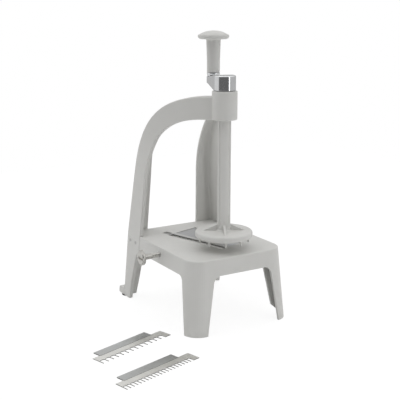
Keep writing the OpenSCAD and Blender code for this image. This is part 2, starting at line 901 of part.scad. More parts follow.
// the fitted blade: a ground strip, the plate behind it and the tang
module straight_blade() {
    color(steel)
    at_blade()
        difference() {
            union() {
                translate([0, plate_l, 0])
                    rotate([90, 0, 0])
                        linear_extrude(plate_l - gap)
                            polygon([
                                [strip_x, edge_rise - thin],
                                [strip_x, edge_rise],
                                [plate_x, -blade_sink],
                                [plate_x + plate_near / 3, -blade_sink],
                                [plate_x + plate_near / 3, -blade_sink - blade_t],
                                [plate_x - blade_t / 2, -blade_sink - blade_t]
                            ]);
                translate([0, 0, -blade_sink - blade_t])
                    linear_extrude(blade_t)
                        polygon([
                            [plate_x, gap],
                            [plate_x + plate_near, gap],
                            [plate_x + plate_far - gap, plate_l],
                            [plate_x, plate_l]
                        ]);
                translate([tang_x, plate_l - blade_t, -blade_sink - blade_t])
                    cube([tang_w, tang_l + blade_t, blade_t]);
            }
            for (p = blade_screw_at)
                translate([p[0], p[1], -top_t])
                    cylinder(r = blade_screw_r + seat, h = top_t);
        }
}

module blade_screws() {
    color(steel)
    at_blade()
        for (p = blade_screw_at)
            translate([p[0], p[1], -blade_sink]) {
                cylinder(r1 = blade_screw_head, r2 = blade_screw_head * 0.8, h = blade_screw_head / 2);
                translate([0, 0, -top_t - blade_boss_r + over])
                    cylinder(r = blade_screw_r, h = top_t + blade_boss_r - over);
            }
}

thumb_z = table_z - thumb_drop;
insert_r = 4.6;
insert_l = 11;
insert_boss_r = 7.2;
skirt_x = side_at(thumb_z);
pad_r = 5.4;
pad_t = 5;
thumb_tip = insert_l + wall * 3;
thumb_neck_r = 2;

module screw_insert() {
    color(steel)
    translate([-skirt_x - seat, thumb_y, thumb_z])
        rotate([0, 90, 0])
            difference() {
                cylinder(r = insert_r, h = insert_l);
                translate([0, 0, -over])
                    cylinder(r = thumb_r + run_gap, h = insert_l + 2 * over);
            }
}

module thumb_screw() {
    color(chrome)
    translate([-skirt_x - thumb_out, thumb_y, thumb_z])
        rotate([0, 90, 0])
            difference() {
                union() {
                    translate([0, 0, -thumb_head_t])
                        rotate_extrude()
                            polygon([
                                [0, thumb_head_t / 5],
                                [thumb_head_r * 0.75, thumb_head_t / 5],
                                [thumb_head_r * 0.85, 0],
                                [thumb_head_r * 0.95, 0],
                                [thumb_head_r, thumb_head_t / 6],
                                [thumb_head_r, thumb_head_t * 5 / 6],
                                [thumb_head_r * 0.95, thumb_head_t],
                                [0, thumb_head_t]
                            ]);
                    cylinder(r = thumb_r * 1.5, h = thumb_head_t / 2);
                    cylinder(r = thumb_r, h = thumb_out + thumb_tip);
                    translate([0, 0, thumb_out + thumb_tip - over])
                        cylinder(r = thumb_neck_r, h = pad_t / 2 + over);
                }
                // slot across the head
                translate([-thumb_head_r - over, -thumb_head_t / 5, -thumb_head_t - over])
                    cube([2 * (thumb_head_r + over), thumb_head_t * 2 / 5, over + thumb_head_t / 2]);
            }
}

module clamp_pad() {
    color(steel)
    translate([-skirt_x + thumb_tip + gap, thumb_y, thumb_z])
        rotate([0, 90, 0])
            difference() {
                cylinder(r = pad_r, h = pad_t);
                translate([0, 0, -over])
                    cylinder(r = thumb_neck_r + run_gap, h = pad_t * 2 / 3 + over);
            }
}

// the outline of a comb blade: teeth point to -Y, plate to +Y
foot_share = 0.075;

// one gap between two teeth: middle, half width and height of its round top
function comb_gap(c, r) = concat(
    [[c - r, -comb_strip_w - comb_tooth_l]],
    [for (a = [180 : -18 : 0]) [c + r * cos(a), -comb_strip_w - r * (1 - sin(a)) / 2]],
    [[c + r, -comb_strip_w - comb_tooth_l]]
);

module comb(n) {
    foot_w = comb_l * foot_share;
    pitch = (comb_l - foot_w - comb_point) / n;
    r = (pitch - comb_point) / 2;
    x0 = -comb_l / 2;
    x1 = x0 + (comb_l - comb_plate_l) * 0.4;
    deep = -comb_strip_w - comb_tooth_l;
    linear_extrude(comb_t)
        polygon(concat(
            [[x1, comb_plate_w], [x1, 0], [x0, 0], [x0, deep]],
            [for (i = [0 : n - 1]) for (p = comb_gap(x0 + comb_point / 2 + pitch * (i + 0.5), r)) p],
            [[-x0, deep], [-x0, 0], [x1 + comb_plate_l, 0], [x1 + comb_plate_l, comb_plate_w]]
        ));
}

module comb_coarse() {
    color(steel)
    translate([-coarse_x, -coarse_y, 0])
        rotate([0, 0, coarse_turn]) comb(coarse_n);
}

module comb_fine() {
    color(steel)
    translate([-fine_x, -fine_y, 0])
        rotate([0, 0, fine_turn]) comb(fine_n);
}

// the part stands with the middle of its whole footprint at X and Y zero
left_end = -fine_x - cos(fine_turn) * comb_l / 2;
front_end = -fine_y - sin(fine_turn) * comb_l / 2 - cos(fine_turn) * (comb_strip_w + comb_tooth_l);

module placed() {
    translate([
        -(left_end + side_at(0)) / 2,
        -(front_end + back_at(0) + heel_l) / 2,
        0
    ]) children();
}

placed() table();
placed() frame();
placed() collar_bush();
placed() frame_screws();
placed() translate([-rear_foot[0], rear_foot[1], 0]) foot();  // foot_left
placed() translate([rear_foot[0], rear_foot[1], 0]) foot();  // foot_right
placed() pusher();
placed() core_rod();
placed() cross_pin();
placed() crank();
placed() crank_screw();
placed() knob_ring();
placed() knob_axle();
placed() knob();
placed() straight_blade();
placed() blade_screws();
placed() screw_insert();
placed() clamp_pad();
placed() thumb_screw();
placed() comb_coarse();
placed() comb_fine();
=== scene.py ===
"""Looks of an upright spiral slicer: moulded white plastic, steel blades and a chrome crank.

Every shape is worked out in millimetres about the spindle's axis, with X to the right, Y to the
back and Z up from the floor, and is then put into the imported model's frame in metres.
"""

import logging
import math
from dataclasses import dataclass, replace
from enum import Enum
from typing import Sequence

import bmesh
import bpy
import numpy as np
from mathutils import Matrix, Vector

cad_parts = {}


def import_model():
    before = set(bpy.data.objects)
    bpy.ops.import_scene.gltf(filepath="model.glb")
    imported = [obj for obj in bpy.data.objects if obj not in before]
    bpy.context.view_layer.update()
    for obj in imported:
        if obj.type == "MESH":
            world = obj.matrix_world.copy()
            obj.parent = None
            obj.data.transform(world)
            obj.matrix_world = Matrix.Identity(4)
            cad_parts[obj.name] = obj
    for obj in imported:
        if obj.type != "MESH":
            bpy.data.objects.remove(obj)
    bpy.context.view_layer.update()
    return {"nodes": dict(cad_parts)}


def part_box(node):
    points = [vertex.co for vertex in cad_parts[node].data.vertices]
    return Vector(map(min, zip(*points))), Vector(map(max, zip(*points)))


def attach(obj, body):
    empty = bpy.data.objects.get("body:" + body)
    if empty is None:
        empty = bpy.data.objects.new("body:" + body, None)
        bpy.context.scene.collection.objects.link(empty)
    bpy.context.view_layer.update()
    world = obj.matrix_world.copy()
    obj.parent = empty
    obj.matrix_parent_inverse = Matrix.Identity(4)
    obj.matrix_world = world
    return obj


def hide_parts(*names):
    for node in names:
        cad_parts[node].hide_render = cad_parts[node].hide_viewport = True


LOG = logging.getLogger("spiral_slicer")
MM = 0.001
RUN_GAP = 0.08

Array = np.ndarray
Socket = bpy.types.NodeSocket
Pair = tuple[float, float]
Triple = tuple[float, float, float]


class Body(Enum):
    """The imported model's bodies that the new pieces ride."""

    BASE = "base"
    BUSH = "bush"
    SPINDLE = "spindle"
    GRIP = "grip"
    SCREW = "screw"
    COARSE = "coarse_blade"
    FINE = "fine_blade"


# Surfaces

AS_IS = np.eye(3)
MIRROR_X = np.diag([-1.0, 1, 1])
ALONG_X = np.array([[0, 0, 1], [1, 0, 0], [0, 1, 0]], float)
UPRIGHT = np.array([[1, 0, 0], [0, 0, -1], [0, 1, 0]], float)
ON_EDGE = np.array([[1, 0, 0], [0, 0, 1], [0, 1, 0]], float)


@dataclass
class Surface:
    """Points in millimetres and the faces between them."""

    points: Array
    faces: list[list[int]]

    def moved(self, turn: Array, shift: Sequence[float] = (0, 0, 0)) -> "Surface":
        """Returns a copy turned by a 3 by 3 matrix and then shifted."""
        return Surface(self.points @ turn.T + np.asarray(shift, float), self.faces)


def joined(*surfaces: Surface) -> Surface:
    """Several surfaces as one list of points and faces.

    Args:
        surfaces: the surfaces, in order.

    Returns:
        The joint surface.
    """
    total = surfaces[0]
    for other in surfaces[1:]:
        count = len(total.points)
        later = [[index + count for index in face] for face in other.faces]
        total = Surface(np.vstack([total.points, other.points]), total.faces + later)
    return total


def grid(points: Array, closed: bool = False) -> Surface:
    """Quads between the neighbours of a grid of points, whose last column joins the first.

    Args:
        points: rows by columns by three, in millimetres.
        closed: whether the last row joins the first, in place of a flat face at either end.

    Returns:
        The surface.
    """
    rows, columns = points.shape[:2]
    index = np.arange(rows * columns).reshape(rows, columns)
    here = index if closed else index[:-1]
    above = np.roll(index, -1, axis=0) if closed else index[1:]
    cells = [here, np.roll(here, -1, axis=1), np.roll(above, -1, axis=1), above]
    faces = np.stack(cells, axis=-1).reshape(-1, 4).tolist()
    if not closed:
        faces += [index[0][::-1].tolist(), index[-1].tolist()]
    return Surface(points.reshape(-1, 3), faces)


def softened(corners: Array, radii: Sequence[float] | float, steps: int, closed: bool = True) -> Array:
    """A broken line whose corners are eased by short quadratic curves.

    Each corner P with the points A and B at its radius along the two edges becomes
    P + (1 - t)^2 (A - P) + t^2 (B - P) for t from 0 to 1.

    Args:
        corners: n by 2, in order.
        radii: length taken off both edges at a corner, one for all or one each.
        steps: number of pieces in a curve.
        closed: whether the line comes back to its start.

    Returns:
        The points of the eased line.
    """
    corners = np.asarray(corners, float)
    reach = np.broadcast_to(np.asarray(radii, float), len(corners))[:, None, None]
    t = np.linspace(0, 1, steps + 1)[None, :, None]
    before = np.roll(corners, 1, axis=0) - corners
    after = np.roll(corners, -1, axis=0) - corners
    before /= np.linalg.norm(before, axis=1, keepdims=True)
    after /= np.linalg.norm(after, axis=1, keepdims=True)
    eased = corners[:, None] + reach * ((1 - t) ** 2 * before[:, None] + t**2 * after[:, None])
    if closed:
        return eased.reshape(-1, 2)
    return np.vstack([corners[:1], eased[1:-1].reshape(-1, 2), corners[-1:]])


def inward(outline: Array) -> Array:
    """Inward steps of an anticlockwise outline's corners, so that each edge moves in by one.

    The step at a corner is the sum of its two edges' inward normals over one plus their product.

    Args:
        outline: n by 2, anticlockwise.

    Returns:
        n by 2 steps.
    """
    edge = np.roll(outline, -1, axis=0) - outline
    edge /= np.linalg.norm(edge, axis=1, keepdims=True)
    normal = np.stack([-edge[:, 1], edge[:, 0]], axis=1)
    before = np.roll(normal, 1, axis=0)
    return (normal + before) / (1 + (normal * before).sum(axis=1, keepdims=True))


def quarter(steps: int) -> tuple[Array, Array]:
    """Returns 1 - sin a and 1 - cos a for equal steps of a from 0 to a right angle."""
    angle = np.linspace(0, np.pi / 2, steps + 1)
    return 1 - np.sin(angle), 1 - np.cos(angle)


def slab(outline: Array, low: float, high: float, ease: float, steps: int) -> Surface:
    """A flat solid over an outline, with its two rims rounded by quarter circles.

    A row at angle a moves in by ease (1 - sin a) and up by ease (1 - cos a).

    Args:
        outline: n by 2, anticlockwise.
        low: height of the lower face.
        high: height of the upper face.
        ease: radius of the rims.
        steps: number of rows in a quarter circle.

    Returns:
        The closed surface.
    """
    inset, rise = (ease * part for part in quarter(steps))
    insets = np.concatenate([inset, inset[::-1]])
    heights = np.concatenate([low + rise, high - rise[::-1]])
    flat = outline[None] + insets[:, None, None] * inward(outline)[None]
    height = np.broadcast_to(heights[:, None, None], flat.shape[:2] + (1,))
    return grid(np.concatenate([flat, height], axis=2))


def circle(sides: int) -> Array:
    """Returns equal angles once round, in radians."""
    return np.linspace(0, 2 * np.pi, sides, endpoint=False)


def around(radius: Array, angle: Array, height: Array) -> Array:
    """Returns the points (r cos a, r sin a, z), rows along the profile and columns round Z."""
    x, y = radius * np.cos(angle), radius * np.sin(angle)
    return np.stack([x, y, np.broadcast_to(height, x.shape)], axis=2)


def turned(profile: Array, sides: int, closed: bool = False) -> Surface:
    """Returns a profile of radii and heights carried round Z; a closed one is a ring."""
    return grid(around(profile[:, :1], circle(sides), profile[:, 1:]), closed)


def lathed(
    corners: Sequence[Sequence[float]],
    radii: Sequence[float],
    steps: int,
    sides: int = 96,
    closed: bool = False,
) -> Surface:
    """Returns an eased profile carried round Z, from its corners and their radii."""
    return turned(softened(corners, radii, steps, closed), sides, closed)


def about_z(degrees: float) -> Array:
    """Returns the matrix that turns by an angle about Z, anticlockwise from above."""
    c, s = math.cos(math.radians(degrees)), math.sin(math.radians(degrees))
    return np.array([[c, -s, 0], [s, c, 0], [0, 0, 1]])


def ringed(surface: Surface, first: float, count: int) -> Surface:
    """Returns equally spaced copies of a surface round Z, the first at an angle in degrees."""
    return joined(*(surface.moved(about_z(first + k * 360 / count)) for k in range(count)))


def ramp(values: Array | float, start: float, end: float) -> Array:
    """Returns 0 before start, 1 after end and 3 w^2 - 2 w^3 between them."""
    share = np.clip((values - start) / (end - start), 0, 1)
    return share * share * (3 - 2 * share)


def smoothed(values: Array, passes: int = 2) -> Array:
    """Values with their kinks eased by a three-point mean.

    Args:
        values: the values in a row, whose ends stay.
        passes: how often the mean is taken.

    Returns:
        The eased values.
    """
    kept = values.copy()
    for _ in range(passes):
        kept[1:-1] = (kept[:-2] + 2 * kept[1:-1] + kept[2:]) / 4
    return kept


# Finishes

NOISE_RANGE = (0.3, 0.7)
GRAIN_STRETCH = (22.0, 1.0, 22.0)


class Nodes:
    """A small builder of one node tree."""

    def __init__(self, tree: bpy.types.NodeTree) -> None:
        """Keeps the tree that the nodes go into."""
        self.tree = tree

    def node(self, kind: str, inputs: dict | None = None, **settings: object) -> bpy.types.Node:
        """Adds a node.

        Args:
            kind: the node's type.
            inputs: what goes into its inputs, by name or number: a value or a socket to join.
            settings: its properties.

        Returns:
            The node.
        """
        made = self.tree.nodes.new(kind)
        for key, value in settings.items():
            setattr(made, key, value)
        for key, value in (inputs or {}).items():
            if isinstance(value, Socket):
                self.link(value, made.inputs[key])
            else:
                made.inputs[key].default_value = value
        return made

    def link(self, start: Socket, end: Socket) -> None:
        """Joins two sockets."""
        self.tree.links.new(start, end)

    def maths(self, kind: str, *values: Socket | float) -> Socket:
        """Returns an operation's result on sockets and plain numbers."""
        return self.node("ShaderNodeMath", dict(enumerate(values)), operation=kind).outputs["Value"]

    def along(self, vector: Socket, axis: Triple) -> Socket:
        """Returns the part of a vector along an axis."""
        made = self.node("ShaderNodeVectorMath", {0: vector, 1: axis}, operation="DOT_PRODUCT")
        return made.outputs["Value"]

    def mixed(self, one: Socket | float, other: Socket | float, share: Socket) -> Socket:
        """Returns one + share (other - one)."""
        return self.maths("MULTIPLY_ADD", share, self.maths("SUBTRACT", other, one), one)

    def smooth(self, value: Socket, start: float, end: float, low: float, high: float) -> Socket:
        """Returns low before start, high after end and a smooth step between them."""
        inputs = {0: value, 1: start, 2: end, 3: low, 4: high}
        return self.node("ShaderNodeMapRange", inputs, interpolation_type="SMOOTHSTEP").outputs["Result"]


class Shade(Nodes):
    """A small builder of one node material."""

    def __init__(self, name: str) -> None:
        """Starts a material of this name with one shader.

        Args:
            name: the material's name.
        """
        self.material = bpy.data.materials.new(name)
        self.material.use_nodes = True
        super().__init__(self.material.node_tree)
        self.shader = self.tree.nodes["Principled BSDF"]
        self.place = self.node("ShaderNodeTexCoord").outputs["Object"]

    def grain(self, degrees: float) -> Socket:
        """Coordinates turned about Z and stretched across the turned Y axis.

        Args:
            degrees: turn of the grain.

        Returns:
            The vector socket.
        """
        turn = (0, 0, math.radians(degrees))
        inputs = {"Vector": self.place, "Rotation": turn, "Scale": GRAIN_STRETCH}
        return self.node("ShaderNodeMapping", inputs, vector_type="TEXTURE").outputs["Vector"]

    def noise(self, scale: float, detail: float, vector: Socket | None = None) -> Socket:
        """Cloudy noise over the object.

        Args:
            scale: features per metre.
            detail: number of finer layers.
            vector: coordinates, or none for the object's own.

        Returns:
            The value socket.
        """
        inputs = {"Scale": scale, "Detail": detail, "Vector": vector or self.place}
        return self.node("ShaderNodeTexNoise", inputs).outputs["Fac"]

    def spread(self, value: Socket, low: float, high: float, end: str) -> None:
        """Spreads a noise's middle range over two values and sends it to a shader input.

        Args:
            value: the noise.
            low: value at its lower end.
            high: value at its upper end.
            end: name of the shader's input.
        """
        start, stop = NOISE_RANGE
        inputs = {"Value": value, "From Min": start, "From Max": stop, "To Min": low, "To Max": high}
        self.link(self.node("ShaderNodeMapRange", inputs).outputs["Result"], self.shader.inputs[end])

    def tint(self, value: Socket, one: Triple, other: Triple) -> None:
        """Mixes two colours by a noise's middle range into the base colour.

        Args:
            value: the noise.
            one: colour at its lower end.
            other: colour at its upper end.
        """
        blend = self.node("ShaderNodeValToRGB", {"Fac": value})
        for index, colour in enumerate((one, other)):
            blend.color_ramp.elements[index].position = NOISE_RANGE[index]
            blend.color_ramp.elements[index].color = (*colour, 1)
        self.link(blend.outputs["Color"], self.shader.inputs["Base Color"])

    def bump(self, heights: Sequence[tuple[Socket, float]]) -> None:
        """Chains bumps into the shader's normal.

        Args:
            heights: height patterns, each with its depth in millimetres.
        """
        before = {}
        for height, depth in heights:
            inputs = {"Strength": 1, "Distance": depth * MM, "Height": height, **before}
            before = {"Normal": self.node("ShaderNodeBump", inputs).outputs["Normal"]}
        self.link(before["Normal"], self.shader.inputs["Normal"])


@dataclass(frozen=True)
class Finish:
    """A procedural finish: clouds between two colours, uneven gloss and bumps.

    A noise is given as its features per metre and its finer layers. A bump has its depth in
    millimetres after them. Colour and bumps run in streaks along the grain where it has a turn.
    """

    name: str
    slot: str
    light: Triple
    dark: Triple
    rough: Pair
    clouds: Pair
    smears: Pair
    bumps: tuple[Triple, ...]
    inputs: tuple[tuple[str, float], ...] = ()
    grain_turn: float | None = None

    def material(self) -> bpy.types.Material:
        """Makes a new material with this finish.

        Returns:
            The material.
        """
        shade = Shade(self.name)
        grain = None if self.grain_turn is None else shade.grain(self.grain_turn)
        shade.tint(shade.noise(*self.clouds, grain), self.dark, self.light)
        shade.spread(shade.noise(*self.smears), *self.rough, "Roughness")
        shade.bump([(shade.noise(scale, detail, grain), depth) for scale, detail, depth in self.bumps])
        for key, value in self.inputs:
            shade.shader.inputs[key].default_value = value
        return shade.material


# Satin white plastic with the faint clouding and orange peel of a mould
WHITE = Finish(
    name="moulded_plastic", slot="white_plastic", light=(0.705, 0.702, 0.680), dark=(0.685, 0.682, 0.658),
    rough=(0.34, 0.44), clouds=(55, 4), smears=(160, 3), bumps=((420, 2, 0.012), (2600, 2, 0.006)),
    inputs=(("IOR", 1.49), ("Specular IOR Level", 0.45)),
)
# Polished plating with faint smears from handling
CHROME = Finish(
    name="chrome", slot="chrome", light=(0.80, 0.81, 0.82), dark=(0.74, 0.75, 0.76),
    rough=(0.08, 0.14), clouds=(60, 3), smears=(220, 5), bumps=((60, 2, 0.002),), inputs=(("Metallic", 1.0),),
)
NICKEL = replace(
    CHROME, name="satin_nickel", light=(0.60, 0.59, 0.56), dark=(0.52, 0.51, 0.49), rough=(0.24, 0.36)
)
# Matt black rubber with a fine grain
RUBBER = Finish(
    name="black_rubber", slot="black_rubber", light=(0.032, 0.032, 0.033), dark=(0.018, 0.018, 0.019),
    rough=(0.6, 0.8), clouds=(300, 3), smears=(500, 2), bumps=((1800, 3, 0.03),),
)
# Steel brushed along one line, with fine scratches
STEEL = Finish(
    name="brushed_steel", slot="blade_steel", light=(0.62, 0.63, 0.625), dark=(0.57, 0.58, 0.575),
    rough=(0.28, 0.36), clouds=(1500, 4), smears=(90, 3), bumps=((2600, 3, 0.003),),
    inputs=(("Metallic", 1.0), ("Anisotropic", 0.35)), grain_turn=0.0,
)
# The steels of the fitted blade's plate, tang and edge, of the comb blades and of the screws
DULL = replace(STEEL, name="fitted_blade_steel", light=(0.52, 0.525, 0.53), dark=(0.47, 0.475, 0.48))
# A darker copy of the steel for the fitted blade's tang: painted shade of the pocket it sits in
TANG_PAINTED_SHADE = replace(STEEL, name="tang_steel_painted_shade", light=(0.38, 0.38, 0.372), dark=(0.33, 0.33, 0.322))
GROUND = replace(
    STEEL, name="ground_edge", light=(0.66, 0.66, 0.65), dark=(0.61, 0.61, 0.60), rough=(0.3, 0.42)
)
# A lighter copy of the steel: painted light on the comb blades' toothed strips, for the light their bent band
# catches
STRIP_PAINTED_LIGHT = replace(STEEL, light=(0.92, 0.915, 0.88), dark=(0.88, 0.875, 0.84), rough=(0.3, 0.4))
# Near black steel for the comb blades' upright edges: painted shade of their thin walls
EDGE_PAINTED_SHADE = replace(
    STEEL, name="edge_painted_shade", light=(0.13, 0.13, 0.125), dark=(0.09, 0.09, 0.088), rough=(0.35, 0.5)
)
SCREW_STEEL = replace(
    STEEL, name="plated_screw", slot="screw_steel", light=(0.62, 0.62, 0.61), dark=(0.54, 0.54, 0.53),
    rough=(0.22, 0.34),
)


def added(name: str, data: bpy.types.ID) -> bpy.types.Object:
    """Makes an object from its data and adds it to the scene.

    Args:
        name: the object's name.
        data: its mesh, camera or light.

    Returns:
        The object, at the origin.
    """
    made = bpy.data.objects.new(name, data)
    bpy.context.scene.collection.objects.link(made)
    return made


@dataclass
class Bench:
    """Turns surfaces into pieces of the model: places, finishes and rides them."""

    nodes: dict[str, bpy.types.Object]
    upright: float = 0.6
    weld_gap: float = 0.004
    flat_angle: float = 1.2
    ease_steps: int = 3
    edge_angle: float = 30.0

    def __post_init__(self) -> None:
        """Finds the spindle's axis from the bush, and starts without materials."""
        low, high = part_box("collar_bush")
        self.axis = np.array([(low.x + high.x) / 2, (low.y + high.y) / 2, 0])
        self.kept: dict[Finish, bpy.types.Material] = {}

    def material(self, finish: Finish) -> bpy.types.Material:
        """Finds a finish's material, or makes it once.

        Args:
            finish: the finish.

        Returns:
            The material.
        """
        if finish not in self.kept:
            self.kept[finish] = finish.material()
        return self.kept[finish]

    def piece(
        self,
        name: str,
        surface: Surface,
        finish: Finish,
        body: Body,
        stands_for: Sequence[str],
        sharp: float = 38,
        walls: Finish | None = None,
    ) -> None:
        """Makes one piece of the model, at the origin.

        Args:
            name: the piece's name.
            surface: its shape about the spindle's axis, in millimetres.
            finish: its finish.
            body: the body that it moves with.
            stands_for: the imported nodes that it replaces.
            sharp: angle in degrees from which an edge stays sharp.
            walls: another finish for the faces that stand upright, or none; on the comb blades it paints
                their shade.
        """
        mesh = bpy.data.meshes.new(name)
        mesh.from_pydata((surface.points * MM + self.axis).tolist(), [], surface.faces)
        shape = bmesh.new()
        shape.from_mesh(mesh)
        bmesh.ops.recalc_face_normals(shape, faces=shape.faces)
        shape.to_mesh(mesh)
        shape.free()
        mesh.shade_smooth()
        mesh.set_sharp_from_angle(angle=math.radians(sharp))
        mesh.materials.append(self.material(finish))
        if walls:
            mesh.materials.append(self.material(walls))
            normals = np.empty(3 * len(mesh.polygons))
            mesh.polygons.foreach_get("normal", normals)
            standing = np.abs(normals.reshape(-1, 3)[:, 2]) < self.upright
            mesh.polygons.foreach_set("material_index", standing.astype(np.int32))
        made = added(name, mesh)
        made.modifiers.new("even_normals", "WEIGHTED_NORMAL").keep_sharp = True
        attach(made, body.value)
        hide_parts(*stands_for)
        LOG.info("%s: %d faces on %s", name, len(mesh.polygons), body.value)

    def dress(self, node: str, finish: Finish, ease: float = 0.0) -> None:
        """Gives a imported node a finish, and eased edges by modifiers.

        Args:
            node: the node's name.
            finish: its finish.
            ease: width of the eased edges in millimetres, or 0 for none.
        """
        made = self.nodes[node]
        for place in made.material_slots:
            place.link = "OBJECT"
            place.material = self.material(finish)
        if ease:
            made.modifiers.new("weld", "WELD").merge_threshold = self.weld_gap * MM
            flat = made.modifiers.new("flat_faces", "DECIMATE")
            flat.decimate_type = "DISSOLVE"
            flat.angle_limit = math.radians(self.flat_angle)
            edges = made.modifiers.new("eased_edges", "BEVEL")
            edges.width = ease * MM
            edges.segments = self.ease_steps
            edges.limit_method = "ANGLE"
            edges.angle_limit = math.radians(self.edge_angle)
            edges.harden_normals = True
        LOG.info("%s dressed in %s", node, finish.name)


# Shapes of the slicer


@dataclass
class TaperedBase:
    """The sizes of the table's outside, which the rails and screws follow."""

    half_w: float = 65.0
    top_z: float = 89.2
    under_z: float = 68.9
    rail_back: float = 130.0
    splay_side: float = 0.062
    splay_back: float = 0.055

    def side(self, z: Array | float) -> Array | float:
        """Returns the outer half width at a height."""
        return self.half_w + self.splay_side * (self.top_z - z)

    def back(self, z: Array | float) -> Array | float:
        """Returns the back face's Y at a height."""
        return self.rail_back + self.splay_back * (self.top_z - z)


@dataclass
class Arch:
    """Rear legs, rails, the double arch and the collar: one white moulding.

    Each row of the share tables is a place along the leg or the arch, with the wall's depth and
    the flange's width there as shares of the rail's.
    """

    base: TaperedBase
    rail_depth: float = 34.2
    rail_flange: float = 27.7
    wall: float = 5.0
    flange_wall: float = 3.4
    section_radii: tuple[float, ...] = (1.6, 1.1, 0.7, 3.0, 0.9, 0.9)
    ease: float = 0.8
    leg_lift: float = 1.2
    bend_z: float = 166.4
    arch_z: float = 271.8
    lean: Triple = (0.097, -0.086, 1.0)
    arch_turn: float = 35.9
    reach: Pair = (60.2, 80.7)
    end_shares: Pair = (1.16, 0.66)
    tail: float = 0.9
    collar_r: float = 14.9
    collar_top: float = 278.6
    collar_l: float = 33.3
    bush_r: float = 11.8
    bush_rim_r: float = 13.2
    bush_rim_t: float = 1.6
    heel_l: float = 14.0
    heel_h: float = 10.5
    heel_w: float = 18.0
    heel_lift: float = 1.4
    heel_root: float = 3.0
    heel_slope: float = 4.0
    leg_shares: tuple[Triple, ...] = (
        (0, 0.485, 0.614), (0.189, 0.515, 0.697), (0.377, 0.55, 0.758), (0.61, 0.661, 0.827),
        (0.813, 0.754, 0.903), (0.9, 0.819, 0.96), (0.958, 0.895, 1.011), (0.99, 0.965, 1.033), (1, 1, 1.036),
    )
    curve_shares: tuple[Triple, ...] = ((0, 0.83, 0.848), (0.45, 0.699, 0.639), (1, 0.798, 0.509))

    def section(
        self, corner: Array, tangent: Array, turn: Array, depth: Array, flange: Array, inset: Array
    ) -> Array:
        """An angle section with rounded corners at every station of a path.

        The wall runs from the corner along r by the depth, and the flange along l by its width;
        l is the turned X axis made square to the tangent, and r is l x t.

        Args:
            corner: n by 3, the outer back corner.
            tangent: n by 3, unit direction of the path.
            turn: n angles of the section about Z, in radians.
            depth: n depths of the wall.
            flange: n widths of the flange.
            inset: n steps by which the outline shrinks, for the rounded ends.

        Returns:
            n by m by 3 points.
        """
        count = len(corner)
        zero, wall, back = (np.full(count, size) for size in (0.0, self.wall, self.flange_wall))
        across = np.stack([zero, zero, wall, wall, flange, flange], axis=1)
        along = np.stack([zero, depth, depth, back, back, zero], axis=1)
        across += np.array([1, 1, -1, -1, -1, -1]) * inset[:, None]
        along += np.array([1, -1, -1, -1, -1, 1]) * inset[:, None]
        flat = np.stack([across, along], axis=2)
        before = np.array([[1, 0], [0, -1], [-1, 0], [0, 1], [-1, 0], [0, 1]], float)[:, None]
        after = np.array([[0, 1], [1, 0], [0, -1], [1, 0], [0, -1], [-1, 0]], float)[:, None]
        near, far = (part[None, :, None] for part in quarter(5))
        bend = np.array(self.section_radii)[:, None, None] * (near * before + far * after)
        flat = (flat[:, :, None] + bend[None]).reshape(count, -1, 2)
        level = np.stack([np.cos(turn), np.sin(turn), zero], axis=1)
        level -= (level * tangent).sum(axis=1, keepdims=True) * tangent
        level /= np.linalg.norm(level, axis=1, keepdims=True)
        forward = np.cross(level, tangent)
        return corner[:, None] + flat[..., :1] * level[:, None] + flat[..., 1:] * forward[:, None]

    def member(self) -> Surface:
        """One rear leg, rail and half of the arch, on the left side.

        The leg follows the tapered base, the rail leans in a straight line, and the arch is a
        cubic Bezier curve: (1-u)^3 A + 3(1-u)^2 u B + 3(1-u) u^2 C + u^3 D.

        Returns:
            The closed surface.
        """
        base, lean = self.base, np.array(self.lean)
        up = np.array([0.0, 0, 1])
        start = self.leg_lift + np.array([0.0, 0.25, 1]) * self.ease
        z = np.concatenate([start, np.linspace(4, 60, 24), np.linspace(61, base.under_z, 18)])
        legs = np.stack([-base.side(z), base.back(z), z], axis=1)
        foot = np.array([-base.half_w, base.rail_back, base.top_z])
        w = np.linspace(0, 1, 14)[:, None]
        rise = lean * (self.bend_z - base.top_z)
        bend = foot + rise
        turn = math.radians(self.arch_turn)
        heading = np.array([math.sin(turn), -math.cos(turn), 0])
        end_x, end_y = self.end_shares
        end = np.array(
            [-self.collar_r * math.cos(turn) * end_x, self.collar_r * math.sin(turn) * end_y, self.arch_z]
        )
        one = bend + lean / np.linalg.norm(lean) * self.reach[0]
        two = end - heading * self.reach[1]
        u = np.linspace(0, 1, 91)[1:, None]
        v = 1 - u
        curve = v**3 * bend + 3 * v**2 * u * one + 3 * v * u**2 * two + u**3 * end
        slope = v**2 * (one - bend) + 2 * v * u * (two - one) + u**2 * (end - two)
        corner = np.vstack([legs, foot + rise * w, curve, end + heading * self.tail])
        tangent = np.vstack([np.tile(up, (len(z), 1)), up * (1 - w) + lean * w, slope, heading])
        tangent /= np.linalg.norm(tangent, axis=1, keepdims=True)
        turns = np.concatenate([np.zeros(len(z) + len(w)), turn * ramp(u[:, 0], 0, 1), [turn]])
        leg, arch = np.array(self.leg_shares), np.array(self.curve_shares)
        sizes = []
        for column, size in ((1, self.rail_depth), (2, self.rail_flange)):
            shares = [
                np.interp(z / base.under_z, leg[:, 0], leg[:, column]),
                1 + (arch[0, column] - 1) * w[:, 0],
                np.interp(u[:, 0], arch[:, 0], arch[:, column]),
                arch[-1:, column],
            ]
            sizes.append(smoothed(np.concatenate(shares)) * size)
        inset = np.zeros(len(corner))
        inset[:3] = self.ease * np.array([1, 0.4, 0])
        return grid(self.section(corner, tangent, turns, *sizes, inset))

